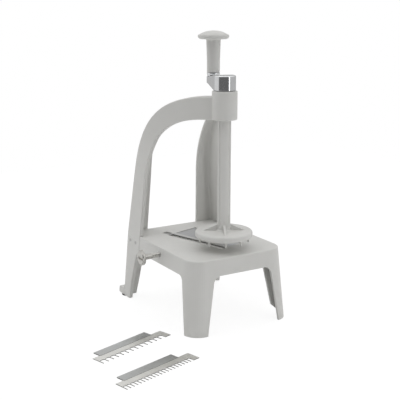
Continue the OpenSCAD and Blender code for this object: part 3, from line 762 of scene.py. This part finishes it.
    def heel(self) -> Surface:
        """The heel behind a rear leg: a rounded side outline across its width, on the leg's slope.

        Returns:
            The closed surface.
        """
        back, low, high = self.base.back(0), self.heel_lift, self.heel_h
        inner, top = back - self.heel_root, high + self.heel_slope
        corners = [
            [inner, low], [back + self.heel_l, low], [back + self.heel_l, high],
            [back + 2.6, high], [back - 0.2, top], [inner, top],
        ]
        outline = softened(corners, [0.4, 2.4, 2.8, 2.6, 0.4, 0.4], 6)
        block = slab(outline, 0, self.heel_w, 1.0, 4).moved(ALONG_X)
        block.points[:, 0] -= self.base.side(block.points[:, 2])
        return block

    def collar(self) -> Surface:
        """The collar: a turned ring with eased rims and the seat of the bush's rim.

        Returns:
            The closed surface.
        """
        low, high, bore = self.collar_top - self.collar_l, self.collar_top, self.bush_r + RUN_GAP
        rim, seat = self.bush_rim_r + RUN_GAP, high - self.bush_rim_t
        corners = [
            [bore, low], [self.collar_r, low], [self.collar_r, high], [rim, high], [rim, seat], [bore, seat],
        ]
        return lathed(corners, [0.3, 1.4, 1.0, 0.25, 0.2, 0.2], 5, 128, closed=True)

    def build(self, bench: Bench) -> None:
        """Makes the moulding and its collar.

        Args:
            bench: what makes the pieces.
        """
        left = joined(self.member(), self.heel())
        bench.piece("arch_frame", joined(left, left.moved(MIRROR_X)), WHITE, Body.BASE, ["frame"])
        bench.piece("arch_collar", self.collar(), WHITE, Body.BASE, ["frame"])


@dataclass
class Spindle:
    """Grooved column with its keyed bush, food disc, ribs and prongs."""

    column_r: float = 7.8
    column_sides: int = 320
    groove_r: float = 1.8
    groove_d: float = 1.2
    groove_ease: float = 0.06
    top_z: float = 285.2
    disc_z: float = 104.1
    disc_t: float = 7.7
    disc_r: float = 34.7
    rib_turn: float = 28.0
    rib_reach: float = 28.0
    rib_h: float = 8.0
    rib_t: float = 3.0
    rib_root: float = 3.0
    rib_hollow: float = 1.12
    ribs: int = 4
    flare: float = 3.6
    prongs: int = 9
    prong_ring: float = 29.5
    prong_l: float = 6.4
    prong_w: float = 4.8
    prong_t: float = 2.0
    root: float = 1.2
    bush_gap: float = 0.1
    bush_proud: float = 0.02
    rim_lift: float = 0.15

    @property
    def disc_top(self) -> float:
        """Returns the height of the disc's upper face."""
        return self.disc_z + self.disc_t

    def grooved(self) -> Array:
        """Depth of the four grooves at each side of the column, in millimetres.

        A groove is a circle of its own radius, centred on the column's side, so its depth at an
        angle is the column's radius less the near crossing of the ray with that circle. The
        depth d becomes d^2 / (d + e), which softens the groove's rims.

        Returns:
            The depths, one for each side.
        """
        centre = self.column_r + self.groove_r - self.groove_d
        first = math.radians(45 - self.rib_turn)
        away = (circle(self.column_sides) - first + np.pi / 4) % (np.pi / 2) - np.pi / 4
        offset = centre * np.sin(away)
        inside = np.clip(self.groove_r**2 - offset**2, 0, None)
        depth = np.clip(self.column_r - (centre * np.cos(away) - np.sqrt(inside)), 0, None)
        depth = np.where(inside > 0, depth, 0)
        return depth * depth / (depth + self.groove_ease)

    def column(self) -> Surface:
        """The column: a cylinder whose radius drops at the grooves, from the ribs upwards.

        Returns:
            The closed surface.
        """
        start = self.disc_top + self.flare
        deep = start + 3
        grooved = np.linspace(start, deep, 10), np.linspace(start + 4, self.top_z, 30)
        heights = np.concatenate([[self.disc_top - 1, start - 1], *grooved])[:, None]
        radius = self.column_r - ramp(heights, start, deep) * self.grooved()[None]
        return grid(around(radius, circle(self.column_sides), heights))

    def disc(self) -> Surface:
        """The food disc, turned, with a chamfered lower rim and a well rounded upper one.

        Returns:
            The closed surface.
        """
        low, top, chamfer, axis = self.disc_z, self.disc_top, self.disc_t / 5, 0.2
        neck = top + self.flare * 1.4
        corners = [
            [axis, low], [self.disc_r - chamfer, low], [self.disc_r, low + chamfer], [self.disc_r, top],
            [self.column_r, top], [self.column_r - 0.5, neck], [axis, neck],
        ]
        return lathed(corners, [0, 0.9, 0.9, 3.4, self.flare, 0.4, 0], 8, 160)

    def rib_ring(self) -> Surface:
        """Upright ribs that fall from the column to the disc in a shallow hollow curve.

        Returns:
            The ribs.
        """
        share = np.linspace(0, 1, 16)
        reach = self.column_r - 1 + (self.rib_reach - self.column_r + 1) * share
        rise = self.disc_top - 0.5 + (self.rib_h + 0.5) * (1 - share) ** self.rib_hollow
        top = np.stack([reach, rise], axis=1)[::-1]
        inner, low = self.column_r - self.rib_root, self.disc_top - self.rib_root
        foot, peak = [[inner, low], [self.rib_reach, low]], [[inner, self.disc_top + self.rib_h]]
        rib = slab(np.vstack([foot, top, peak]), -self.rib_t / 2, self.rib_t / 2, 0.55, 4)
        return ringed(rib.moved(UPRIGHT), -90 - self.rib_turn, self.ribs)

    def teeth(self) -> Surface:
        """The ring of flat pointed prongs under the disc.

        Returns:
            The prongs.
        """
        depth = self.prong_l
        half = [
            (self.prong_w / 2, -self.root), (self.prong_w / 2, 0),
            (self.prong_w * 0.3, depth * 0.35), (self.prong_w * 0.17, depth),
        ]
        corners = [[-x, -y] for x, y in half] + [[x, -y] for x, y in half[::-1]]
        outline = softened(corners, [0.2, 0.2, 0.5, 0.15, 0.15, 0.5, 0.2, 0.2], 2)
        tooth = slab(outline, -self.prong_t / 2, self.prong_t / 2, 0.25, 2)
        tooth = tooth.moved(UPRIGHT, (0, -self.prong_ring, self.disc_z))
        return ringed(tooth, -self.rib_turn, self.prongs)

    def bush(self, arch: Arch) -> Surface:
        """The bush: a turned ring whose bore follows the column with a running gap.

        Args:
            arch: the arch whose collar holds it.

        Returns:
            The closed surface.
        """
        low, high = arch.collar_top - arch.collar_l, arch.collar_top + self.bush_proud
        seat, bore = arch.collar_top - arch.bush_rim_t + self.rim_lift, self.column_r + self.bush_gap
        corners = [
            [bore, low], [arch.bush_r, low], [arch.bush_r, seat], [arch.bush_rim_r, seat],
            [arch.bush_rim_r, high], [bore, high],
        ]
        profile = softened(corners, [0.3, 0.5, 0.1, 0.1, 0.5, 0.6], 4)
        keyed = (profile[:, :1] < self.column_r + 0.9).astype(float)
        radius = profile[:, :1] - keyed * self.grooved()[None]
        return grid(around(radius, circle(self.column_sides), profile[:, 1:]), closed=True)

    def build(self, bench: Bench, arch: Arch) -> None:
        """Makes the moulded spindle and its bush, and dresses the steel inside.

        Args:
            bench: what makes the pieces.
            arch: the arch whose collar holds the bush.
        """
        bench.piece("column", self.column(), WHITE, Body.SPINDLE, ["pusher"])
        bench.piece("food_disc", joined(self.disc(), self.rib_ring()), WHITE, Body.SPINDLE, ["pusher"])
        bench.piece("prong_ring", self.teeth(), WHITE, Body.SPINDLE, ["pusher"])
        bench.piece("keyed_bush", self.bush(arch), WHITE, Body.BUSH, ["collar_bush"])
        bench.dress("core_rod", SCREW_STEEL)
        bench.dress("cross_pin", WHITE, 0.25)


@dataclass
class Crank:
    """Chrome arm from the hub to the knob, its screw, ring and axle, and the white knob."""

    hub_z: float = 279.2
    hub_r: float = 12.9
    hub_h: float = 17.4
    reach: float = 60.0
    turn: float = 19.3
    tip_r: float = 8.2
    tip_h: float = 8.2
    tip_drop: float = 1.1
    ease: Pair = (1.7, 1.1)
    crisp_share: float = 0.3
    screw_r: float = 5.15
    screw_deep: float = 2.9
    ring_h: float = 4.5
    ring_r: float = 7.5
    ring_bore: float = 3.2
    stem_r: float = 7.9
    stem_l: float = 39.0
    cap_r: float = 19.5
    cap_h: float = 10.8
    bore_l: float = 27.0
    bore_r: float = 3.1
    knob_gap: float = 0.3
    dome_h: float = 0.47
    dome_start: float = 0.92
    dome_power: float = 2.4

    @property
    def mid(self) -> float:
        """Returns the height of the hub's middle."""
        return self.hub_z + self.hub_h / 2

    def outline(self) -> tuple[Array, Array, Array]:
        """The hull of the hub's and the tip's circles, seen from above.

        The straight sides touch both circles at the angle whose cosine is the difference of
        the radii over the reach.

        Returns:
            The circles' centres along the arm, their radii and the outward angles, n each.
        """
        touch = math.acos((self.hub_r - self.tip_r) / self.reach)
        side = np.linspace(0, 1, 26)[1:-1]
        tip = np.linspace(-touch, touch, 40)
        hub = np.linspace(touch, 2 * np.pi - touch, 64)
        at_tip, at_hub = np.ones(len(tip)), np.ones(len(hub))
        centre = np.concatenate([at_tip * self.reach, self.reach * (1 - side), at_hub * 0, self.reach * side])
        radius = np.concatenate([
            at_tip * self.tip_r, self.tip_r + (self.hub_r - self.tip_r) * side,
            at_hub * self.hub_r, self.hub_r + (self.tip_r - self.hub_r) * side,
        ])
        angle = np.concatenate([tip, np.full(len(side), touch), hub, np.full(len(side), -touch)])
        return centre, radius, angle

    def arm(self) -> Surface:
        """The arm: the outline's rim rounded by quarter circles between a lower and an upper face.

        Half the height falls from the hub's to the tip's in a straight line along the arm, and
        the upper face runs in to the round seat of the screw, which goes down as a short wall.

        Returns:
            The closed surface.
        """
        centre, radius, angle = self.outline()
        ease = np.interp(centre, [0, self.reach], self.ease)
        crisp = ease * self.crisp_share
        near, fall = (part[:, None] for part in quarter(5))

        def flat(inset: Array) -> Array:
            """Returns the outline moved in by an inset for each row."""
            x, y = (radius - inset) * np.cos(angle), (radius - inset) * np.sin(angle)
            return np.stack([centre + x, y], axis=2)

        def faced(rows: Array, side: int, lift: Array | float = 0) -> Array:
            """Rows raised to the upper or the lower face.

            Args:
                rows: rows of flat points.
                side: 1 for the upper face, -1 for the lower.
                lift: step from the face towards the middle.

            Returns:
                The rows with their heights.
            """
            start = self.hub_r * 0.5
            share = np.clip((rows[..., 0] - start) / (self.reach - self.tip_r - start), 0, 1)
            thick = self.hub_h + (self.tip_h - self.hub_h) * share
            height = self.mid - self.tip_drop * share + side * (thick / 2 - lift)
            return np.concatenate([rows, height[..., None]], axis=2)

        rim, foot = flat(ease * near), flat(crisp * near)
        polar = np.arctan2(rim[0, :, 1], rim[0, :, 0])
        seat = self.screw_r * np.stack([np.cos(polar), np.sin(polar)], axis=1)
        share = np.linspace(0, 1, 14)[1:, None, None]
        inner = rim[0] * (1 - share) + seat * share
        under = foot[0] * (1 - share[:-1]) + seat * share[:-1]
        level = np.full((len(seat), 1), self.hub_z + self.hub_h - self.screw_deep)
        floor = np.concatenate([seat, level], axis=1)
        dot = np.concatenate([seat * 0.05, floor[:, 2:]], axis=1)
        rows = np.concatenate([
            faced(under, -1)[::-1], faced(foot, -1, crisp * fall), faced(rim, 1, ease * fall)[::-1],
            faced(inner, 1), floor[None], dot[None],
        ])
        points = rows[..., [1, 0, 2]] * np.array([-1, 1, 1])
        return grid(points).moved(about_z(-self.turn))

    def at_knob(self, surface: Surface, rise: float = 0) -> Surface:
        """Returns a surface moved from the axis to the knob's place, by a rise above the arm."""
        turn, top = math.radians(self.turn), self.mid - self.tip_drop + self.tip_h / 2
        return surface.moved(AS_IS, (self.reach * math.sin(turn), self.reach * math.cos(turn), top + rise))

    def ring(self) -> Surface:
        """The chrome ring under the knob, with a waist and a bright bead.

        Returns:
            The closed surface.
        """
        bore, foot, bead, high = self.ring_bore, self.ring_r, self.ring_r + 0.5, self.ring_h
        corners = [
            [bore, 0.1], [foot, 0.1], [foot + 0.1, high * 0.5],
            [bead, high * 0.72], [bead, high], [bore, high],
        ]
        return lathed(corners, [0.1, 0.5, 0.5, 0.3, 0.5, 0.1], 4, closed=True)

    def grip(self) -> Surface:
        """The knob: a bored stem that widens upwards into a shallow mushroom cap.

        The dome's height over a share w of the cap's radius falls with a power of w.

        Returns:
            The closed surface.
        """
        stem, long, cap, high, bore = self.stem_r, self.stem_l, self.cap_r, self.cap_h, self.bore_r
        corners = [
            [0.2, self.bore_l], [bore, self.bore_l], [bore, 0], [stem, 0], [stem, long / 3],
            [stem + 0.9, long + high * 0.05], [cap * 0.88, long + high * 0.07],
            [cap, long + high * 0.38], [cap * 0.93, long + high * 0.56],
        ]
        lower = softened(corners, [0, 0.1, 0.1, 0.7, 5, 1.6, 1.8, 1.5, 0], 6, closed=False)
        w = np.linspace(0.9, 0.01, 26)
        fall = self.dome_h * (w / self.dome_start) ** self.dome_power
        return turned(np.vstack([lower, np.stack([cap * w, long + high * (1 - fall)], axis=1)]), 128)

    def build(self, bench: Bench) -> None:
        """Makes the arm, ring and knob, and dresses the screw and the axle.

        Args:
            bench: what makes the pieces.
        """
        knob = self.at_knob(self.grip(), self.ring_h + self.knob_gap)
        bench.piece("crank_arm", self.arm(), CHROME, Body.SPINDLE, ["crank"])
        bench.piece("knob_collar", self.at_knob(self.ring()), CHROME, Body.SPINDLE, ["knob_ring"])
        bench.piece("mushroom_knob", knob, WHITE, Body.GRIP, ["knob"], 50)
        bench.dress("crank_screw", SCREW_STEEL, 0.3)
        bench.dress("knob_axle", SCREW_STEEL)


@dataclass
class FittedBlade:
    """The blade set into the tabletop, in its own slanted frame."""

    top_z: float
    off: float = 4.4
    turn: float = 16.7
    start: float = 1.5
    long: float = 91.0
    open_w: float = 5.2
    rise: float = 1.1
    strip_w: float = 7.4
    edge_t: float = 0.02
    thick: float = 1.2
    sink: float = 0.7
    near: float = 23.0
    far: float = 39.0
    tang_l: float = 12.0
    tang_w: float = 8.0
    gap: float = 0.3
    drop: float = 0.6
    clear: float = 0.05

    def placed(self, surface: Surface) -> Surface:
        """Returns a surface moved from the blade's frame into the slicer's."""
        turn, place = about_z(self.turn), np.array([-self.off, 0, self.top_z])
        return surface.moved(turn, turn @ np.array([0, -self.start, 0]) + place)

    def strip(self) -> Surface:
        """The ground strip: nearly flat behind the cutting edge, then a short drop to the plate.

        Returns:
            The closed surface.
        """
        plate_x, under = self.open_w + self.strip_w, -self.sink - self.thick
        section = np.array([
            [self.open_w, self.rise - self.edge_t], [plate_x - self.thick / 2, under],
            [plate_x + self.drop, under + self.clear], [plate_x + self.drop, -self.sink - self.clear],
            [plate_x - self.drop, self.rise * 0.8], [self.open_w, self.rise],
        ])
        return slab(section, self.gap, self.long - self.gap, 0.005, 1).moved(ON_EDGE)

    def build(self, bench: Bench) -> None:
        """Makes the ground strip and the plate with its tang, and dresses the screws.

        Args:
            bench: what makes the pieces.
        """
        long, plate_x = self.long - self.gap, self.open_w + self.strip_w
        tang_x = self.open_w - self.strip_w / 3
        plate = [
            [plate_x, self.gap], [plate_x + self.near, self.gap],
            [plate_x + self.far - self.gap, long], [plate_x, long],
        ]
        near, far = long - self.thick, long + self.tang_l
        tang = [[tang_x, near], [tang_x + self.tang_w, near], [tang_x + self.tang_w, far], [tang_x, far]]
        finish = replace(GROUND, grain_turn=self.turn + 90)
        bench.piece("ground_strip", self.placed(self.strip()), finish, Body.BASE, ["straight_blade"], 12)
        # The tang's darker steel is painted shade of its pocket
        for name, corners, radii, finish in (
            ("blade_plate", plate, [0.2, 0.6, 0.6, 0.2], DULL), ("blade_tang", tang, 0.8, TANG_PAINTED_SHADE)
        ):
            flat = slab(softened(corners, radii, 3), -self.sink - self.thick, -self.sink, 0.15, 2)
            finish = replace(finish, grain_turn=self.turn)
            bench.piece(name, self.placed(flat), finish, Body.BASE, ["straight_blade"])
        bench.dress("blade_screws", SCREW_STEEL, 0.2)


@dataclass
class CombBlade:
    """A loose comb blade lying on the floor: plate, toothed band painted lighter as lit, and teeth."""

    node: str
    body: Body
    place: Pair
    turn: float
    gaps: int
    long: float = 105.0
    plate_l: float = 79.0
    plate_w: float = 10.7
    strip_w: float = 10.0
    tooth: float = 7.5
    point: float = 0.7
    thick: float = 1.0
    step: float = 0.25
    lap: float = 1.2
    foot_share: float = 0.075
    start_share: float = 0.4

    def toothed(self) -> Array:
        """The toothed strip seen from above, with a round-topped gap between each two teeth.

        Returns:
            n by 2 points, anticlockwise.
        """
        pitch = (self.long - self.long * self.foot_share - self.point) / self.gaps
        r = (pitch - self.point) / 2
        x0 = -self.long / 2
        deep = -self.strip_w - self.tooth
        angle = np.radians(np.arange(180, -1, -15))
        middle = x0 + self.point / 2 + pitch * (np.arange(self.gaps)[:, None] + 0.5)
        arc_x = middle + r * np.cos(angle)
        arc_y = np.broadcast_to(-self.strip_w - r * (1 - np.sin(angle)) / 2, arc_x.shape)
        x = np.concatenate([middle - r, arc_x, middle + r], axis=1)
        y = np.pad(arc_y, ((0, 0), (1, 1)), constant_values=deep)
        teeth = np.stack([x.ravel(), y.ravel()], axis=1)
        return np.vstack([[[x0, 0], [x0, deep]], teeth, [[-x0, deep], [-x0, 0]]])

    def build(self, bench: Bench) -> None:
        """Makes the plate, and the toothed strip with its teeth, with finely eased edges, the strip painted
        lighter as lit and the upright edges near black as painted shade.

        Args:
            bench: what makes the pieces.
        """
        steel = replace(STEEL, name=self.node + "_steel", grain_turn=self.turn)
        # The toothed strip's lighter steel is painted light, for the light its bent band catches
        ground = replace(STRIP_PAINTED_LIGHT, name=self.node + "_strip_painted_light", grain_turn=self.turn + 90)
        x1 = -self.long / 2 + (self.long - self.plate_l) * self.start_share
        x2 = x1 + self.plate_l
        corners = [[x1, -self.lap], [x2, -self.lap], [x2, self.plate_w], [x1, self.plate_w]]
        plate = slab(softened(corners, 0.5, 3), 0, self.thick, 0.12, 2)
        strip = slab(self.toothed(), 0, self.thick - self.step, 0.1, 2)
        place = (-self.place[0], -self.place[1], 0)
        # The upright edges take near black steel as painted shade
        for part, shape, finish in (("plate", plate, steel), ("teeth", strip, ground)):
            shape = shape.moved(about_z(self.turn), place)
            bench.piece(f"{self.node}_{part}", shape, finish, self.body, [self.node], 50, EDGE_PAINTED_SHADE)


@dataclass
class ThumbScrew:
    """The clamp screw at the left of the skirt, with its insert and pad."""

    base: TaperedBase
    y: float = 43.6
    z: float = 79.6
    out: float = 22.0
    thread_r: float = 3.0
    head_r: float = 9.3
    head_t: float = 4.0
    tip: float = 20.0
    lead: float = 1.25
    thread_d: float = 0.42
    plain: float = 12.5
    shoulder: float = 0.4
    slot_half: float = 12.0

    def head(self) -> Surface:
        """The round head: a turned disc with eased rims, and two raised halves beside the slot.

        Returns:
            The closed surface.
        """
        t, r, neck, axis = self.head_t, self.head_r, 4.5, 0.1
        corners = [
            [axis, -t * 0.45], [r * 0.6, -t * 0.45], [r * 0.7, -t * 0.8], [r, -t * 0.8],
            [r, 0], [neck, 0], [neck, t / 2], [axis, t / 2],
        ]
        disc = lathed(corners, [0, 0.4, 0.3, 0.8, 0.8, 0.3, 0.4, 0], 5)
        angle = np.linspace(np.radians(self.slot_half), np.radians(180 - self.slot_half), 40)
        half = np.stack([r * 0.86 * np.cos(angle), r * 0.86 * np.sin(angle)], axis=1)
        raised = slab(half, -t, -t * 0.4, 0.45, 4)
        return joined(disc, raised, raised.moved(about_z(180)))

    def shank(self) -> Surface:
        """The shank: a plain shoulder, then a thread.

        The thread's radius follows a rounded saw of the height less the angle's share of the lead.

        Returns:
            The closed surface.
        """
        angle = circle(40)
        height = np.arange(0, self.out + self.tip, self.lead / 8)[:, None]
        phase = (height / self.lead - angle[None] / (2 * np.pi)) % 1
        ridge = 1 - np.abs(2 * phase - 1)
        fade = ramp(height, self.plain - 1, self.plain)
        groove = self.thread_d * fade * (1 - ramp(ridge, 0.1, 0.9))
        return grid(around(self.thread_r + self.shoulder * (1 - fade) - groove, angle, height))

    def build(self, bench: Bench) -> None:
        """Makes the screw and dresses the insert and the pad.

        Args:
            bench: what makes the pieces.
        """
        place = (-self.base.side(self.z) - self.out, self.y, self.z)
        screw = joined(self.head(), self.shank()).moved(ALONG_X, place)
        bench.piece("clamp_screw", screw, NICKEL, Body.SCREW, ["thumb_screw"])
        bench.dress("screw_insert", SCREW_STEEL, 0.2)
        bench.dress("clamp_pad", SCREW_STEEL, 0.4)


@dataclass
class SmallParts:
    """The rubber feet, the rails' screws and the moulded table."""

    base: TaperedBase
    foot_r: float = 7.0
    foot_h: float = 2.4
    foot_out: float = 0.5
    foot_back: float = 2.0
    stud_r: float = 2.0
    stud_h: float = 3.0
    screw_y: Pair = (107.35, 121.6)
    screw_z: float = 78.75
    screw_r: float = 2.8
    screw_sink: float = 1.05
    screw_rim: float = 0.2
    dome_h: float = 1.5
    dome_share: float = 0.93
    cross_d: float = 0.8
    cross_w: Pair = (0.22, 0.42)
    cross_l: Pair = (1.3, 1.6)

    def foot(self) -> Surface:
        """A turned rubber foot with a dished sole and a stud.

        Returns:
            The closed surface.
        """
        r, h, stud, top, axis = self.foot_r, self.foot_h, self.stud_r, self.foot_h + self.stud_h, 0.2
        corners = [
            [axis, h / 3], [r * 2 / 3, 0], [r, 0], [r, h * 0.5],
            [r * 0.7, h], [stud, h], [stud, top], [axis, top],
        ]
        return lathed(corners, [0, 0.5, 0.5, 0.5, 0.3, 0.2, 0.3, 0], 4, 64)

    def screw_head(self) -> Surface:
        """A domed head with a cross pressed into it, over a polar grid of radius and angle.

        Returns:
            The closed surface.
        """
        share = np.linspace(1, 0.02, 22)[:, None]
        height = self.screw_rim + self.dome_h * np.sqrt(1 - (self.dome_share * share) ** 2)
        top = around(self.screw_r * share, circle(96)[None], height)
        less, more = np.sort(np.abs(top[..., :2]), axis=2).transpose(2, 0, 1)
        top[..., 2] -= self.cross_d * (1 - ramp(less, *self.cross_w)) * (1 - ramp(more, *self.cross_l))
        foot = top[:1].copy()
        foot[..., 2] = -2
        return grid(np.concatenate([foot, top]))

    def build(self, bench: Bench) -> None:
        """Makes the feet and screw heads, and dresses the table.

        Args:
            bench: what makes the pieces.
        """
        out, back = self.base.side(0) - self.foot_r + self.foot_out, self.base.back(0) + self.foot_back
        for name, sign in (("left", -1), ("right", 1)):
            foot = self.foot().moved(AS_IS, (sign * out, back, 0))
            bench.piece(f"rubber_foot_{name}", foot, RUBBER, Body.BASE, [f"foot_{name}"])
        side = self.base.side(self.screw_z) - self.screw_sink
        heads = [self.screw_head().moved(ALONG_X, (side, y, self.screw_z)) for y in self.screw_y]
        pairs = [face for head in heads for face in (head, head.moved(MIRROR_X))]
        bench.piece("rail_screw_heads", joined(*pairs), SCREW_STEEL, Body.BASE, ["frame_screws"])
        bench.dress("table", WHITE, 0.55)


# Studio


@dataclass
class Studio:
    """Pale floor, soft light and the camera, placed from the spindle's axis in metres."""

    axis: Array
    eye: Triple = (-0.516662, -0.799882, 0.372146)
    yaw: float = 31.134
    pitch: float = -13.206
    lens: float = 73.697
    sensor: float = 36.0
    floor_size: float = 2.0
    floor_grey: float = 0.9
    floor_glow: float = 1.1
    glow_share: float = 0.8
    left_light: float = 0.73
    right_light: float = 0.54
    rear_light: float = 0.48
    top_light: float = 1.05
    dim_light: float = 0.14
    side_blend: Pair = (-0.5, 0.5)
    rear_blend: Pair = (-0.95, -0.5)
    top_blend: Pair = (0.1, 0.9)
    dim_band: Pair = (-66.0, 44.0)
    dim_soft: float = 7.0
    dim_rise: Pair = (0.5, 0.8)
    strip_width: float = 0.08
    strip_light: float = 2.2
    lamp_place: Triple = (-1.1, 0.0, 1.5)
    lamp_target: Triple = (0, 0.03, 0.15)
    lamp_size: float = 0.9
    lamp_power: float = 1.5

    def camera(self) -> None:
        """Makes the camera that was fitted to the photograph's edges."""
        data = bpy.data.cameras.new("camera")
        data.lens = self.lens
        data.sensor_width = self.sensor
        data.clip_start = 0.01
        seen = added("camera", data)
        seen.location = Vector(self.eye) + Vector(self.axis)
        seen.rotation_euler = (math.radians(90 + self.pitch), 0, math.radians(-self.yaw))
        bpy.context.scene.camera = seen

    def floor(self) -> None:
        """Makes the pale floor: white to the camera, with the object's shadow kept faint."""
        half = self.floor_size / 2
        mesh = bpy.data.meshes.new("floor")
        corners = [(-half, -half, 0), (half, -half, 0), (half, half, 0), (-half, half, 0)]
        mesh.from_pydata(corners, [], [[0, 1, 2, 3]])
        made = added("floor", mesh)
        material = bpy.data.materials.new("pale_floor")
        material.use_nodes = True
        nodes = Nodes(material.node_tree)
        nodes.tree.nodes.clear()
        seen = nodes.node("ShaderNodeLightPath").outputs["Is Camera Ray"]
        grey = (self.floor_grey,) * 3 + (1,)
        matt = nodes.node("ShaderNodeBsdfDiffuse", {"Color": grey}).outputs["BSDF"]
        glow = nodes.node("ShaderNodeEmission", {"Strength": self.floor_glow}).outputs["Emission"]
        share = nodes.maths("MULTIPLY", seen, self.glow_share)
        mix = nodes.node("ShaderNodeMixShader", {0: share, 1: matt, 2: glow}).outputs["Shader"]
        nodes.node("ShaderNodeOutputMaterial", {"Surface": mix})
        mesh.materials.append(material)

    def world(self) -> None:
        """Lights the scene from all round, and shows white behind the object.

        The light depends on its direction: even at the sides and behind, stronger from above,
        dim in a band behind the camera, with one narrow bright strip at the band's right end.
        """
        world = bpy.data.worlds.new("studio")
        bpy.context.scene.world = world
        world.use_nodes = True
        nodes = Nodes(world.node_tree)
        back = nodes.tree.nodes["Background"]
        yaw = math.radians(self.yaw)
        way = nodes.node("ShaderNodeTexCoord").outputs["Generated"]
        near = nodes.along(way, (-math.sin(yaw), -math.cos(yaw), 0))
        right = nodes.along(way, (math.cos(yaw), -math.sin(yaw), 0))
        rise = nodes.along(way, (0, 0, 1))
        angle = nodes.maths("ARCTAN2", right, near)
        start, end = (math.radians(degrees) for degrees in self.dim_band)
        soft, width = math.radians(self.dim_soft), self.strip_width
        low = nodes.smooth(rise, *self.dim_rise, 1, 0)
        left = nodes.smooth(angle, start - soft, start + soft, 0, 1)
        band = nodes.maths("MULTIPLY", left, nodes.smooth(angle, end - soft / 4, end, 1, 0))
        left = nodes.smooth(angle, end - soft / 4, end, 0, 1)
        strip = nodes.maths("MULTIPLY", left, nodes.smooth(angle, end + width, end + 2 * width, 1, 0))
        light = nodes.smooth(right, *self.side_blend, self.left_light, self.right_light)
        light = nodes.mixed(light, self.rear_light, nodes.smooth(near, *self.rear_blend, 1, 0))
        light = nodes.mixed(light, self.top_light, nodes.smooth(rise, *self.top_blend, 0, 1))
        light = nodes.mixed(light, self.dim_light, nodes.maths("MULTIPLY", band, low))
        light = nodes.maths("MULTIPLY_ADD", nodes.maths("MULTIPLY", strip, low), self.strip_light, light)
        seen = nodes.node("ShaderNodeLightPath").outputs["Is Camera Ray"]
        nodes.link(nodes.mixed(light, 1.0, seen), back.inputs["Strength"])
        back.inputs["Color"].default_value = (1, 1, 1, 1)

    def lamp(self) -> None:
        """Makes the square soft key lamp that faces the object."""
        data = bpy.data.lights.new("key", "AREA")
        data.shape = "SQUARE"
        data.size = self.lamp_size
        data.energy = self.lamp_power
        made, place = added("key", data), Vector(self.lamp_place)
        made.location = place + Vector(self.axis)
        made.rotation_euler = (Vector(self.lamp_target) - place).to_track_quat("-Z", "Y").to_euler()

    def build(self) -> None:
        """Sets up the whole studio."""
        self.camera()
        self.floor()
        self.world()
        self.lamp()
        bpy.context.scene.view_settings.view_transform = "Standard"


def main() -> None:
    """Builds the slicer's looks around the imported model."""
    logging.basicConfig(level=logging.INFO, format="%(name)s: %(message)s")
    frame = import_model()
    bench = Bench(frame["nodes"])
    Studio(bench.axis).build()
    base = TaperedBase()
    arch = Arch(base)
    arch.build(bench)
    Spindle().build(bench, arch)
    Crank().build(bench)
    FittedBlade(base.top_z).build(bench)
    CombBlade("comb_coarse", Body.COARSE, (138.5, 15.0), 17.5, 13).build(bench)
    CombBlade("comb_fine", Body.FINE, (143.0, 85.5), 15.5, 20).build(bench)
    ThumbScrew(base).build(bench)
    SmallParts(base).build(bench)


if __name__ == "__main__":
    main()
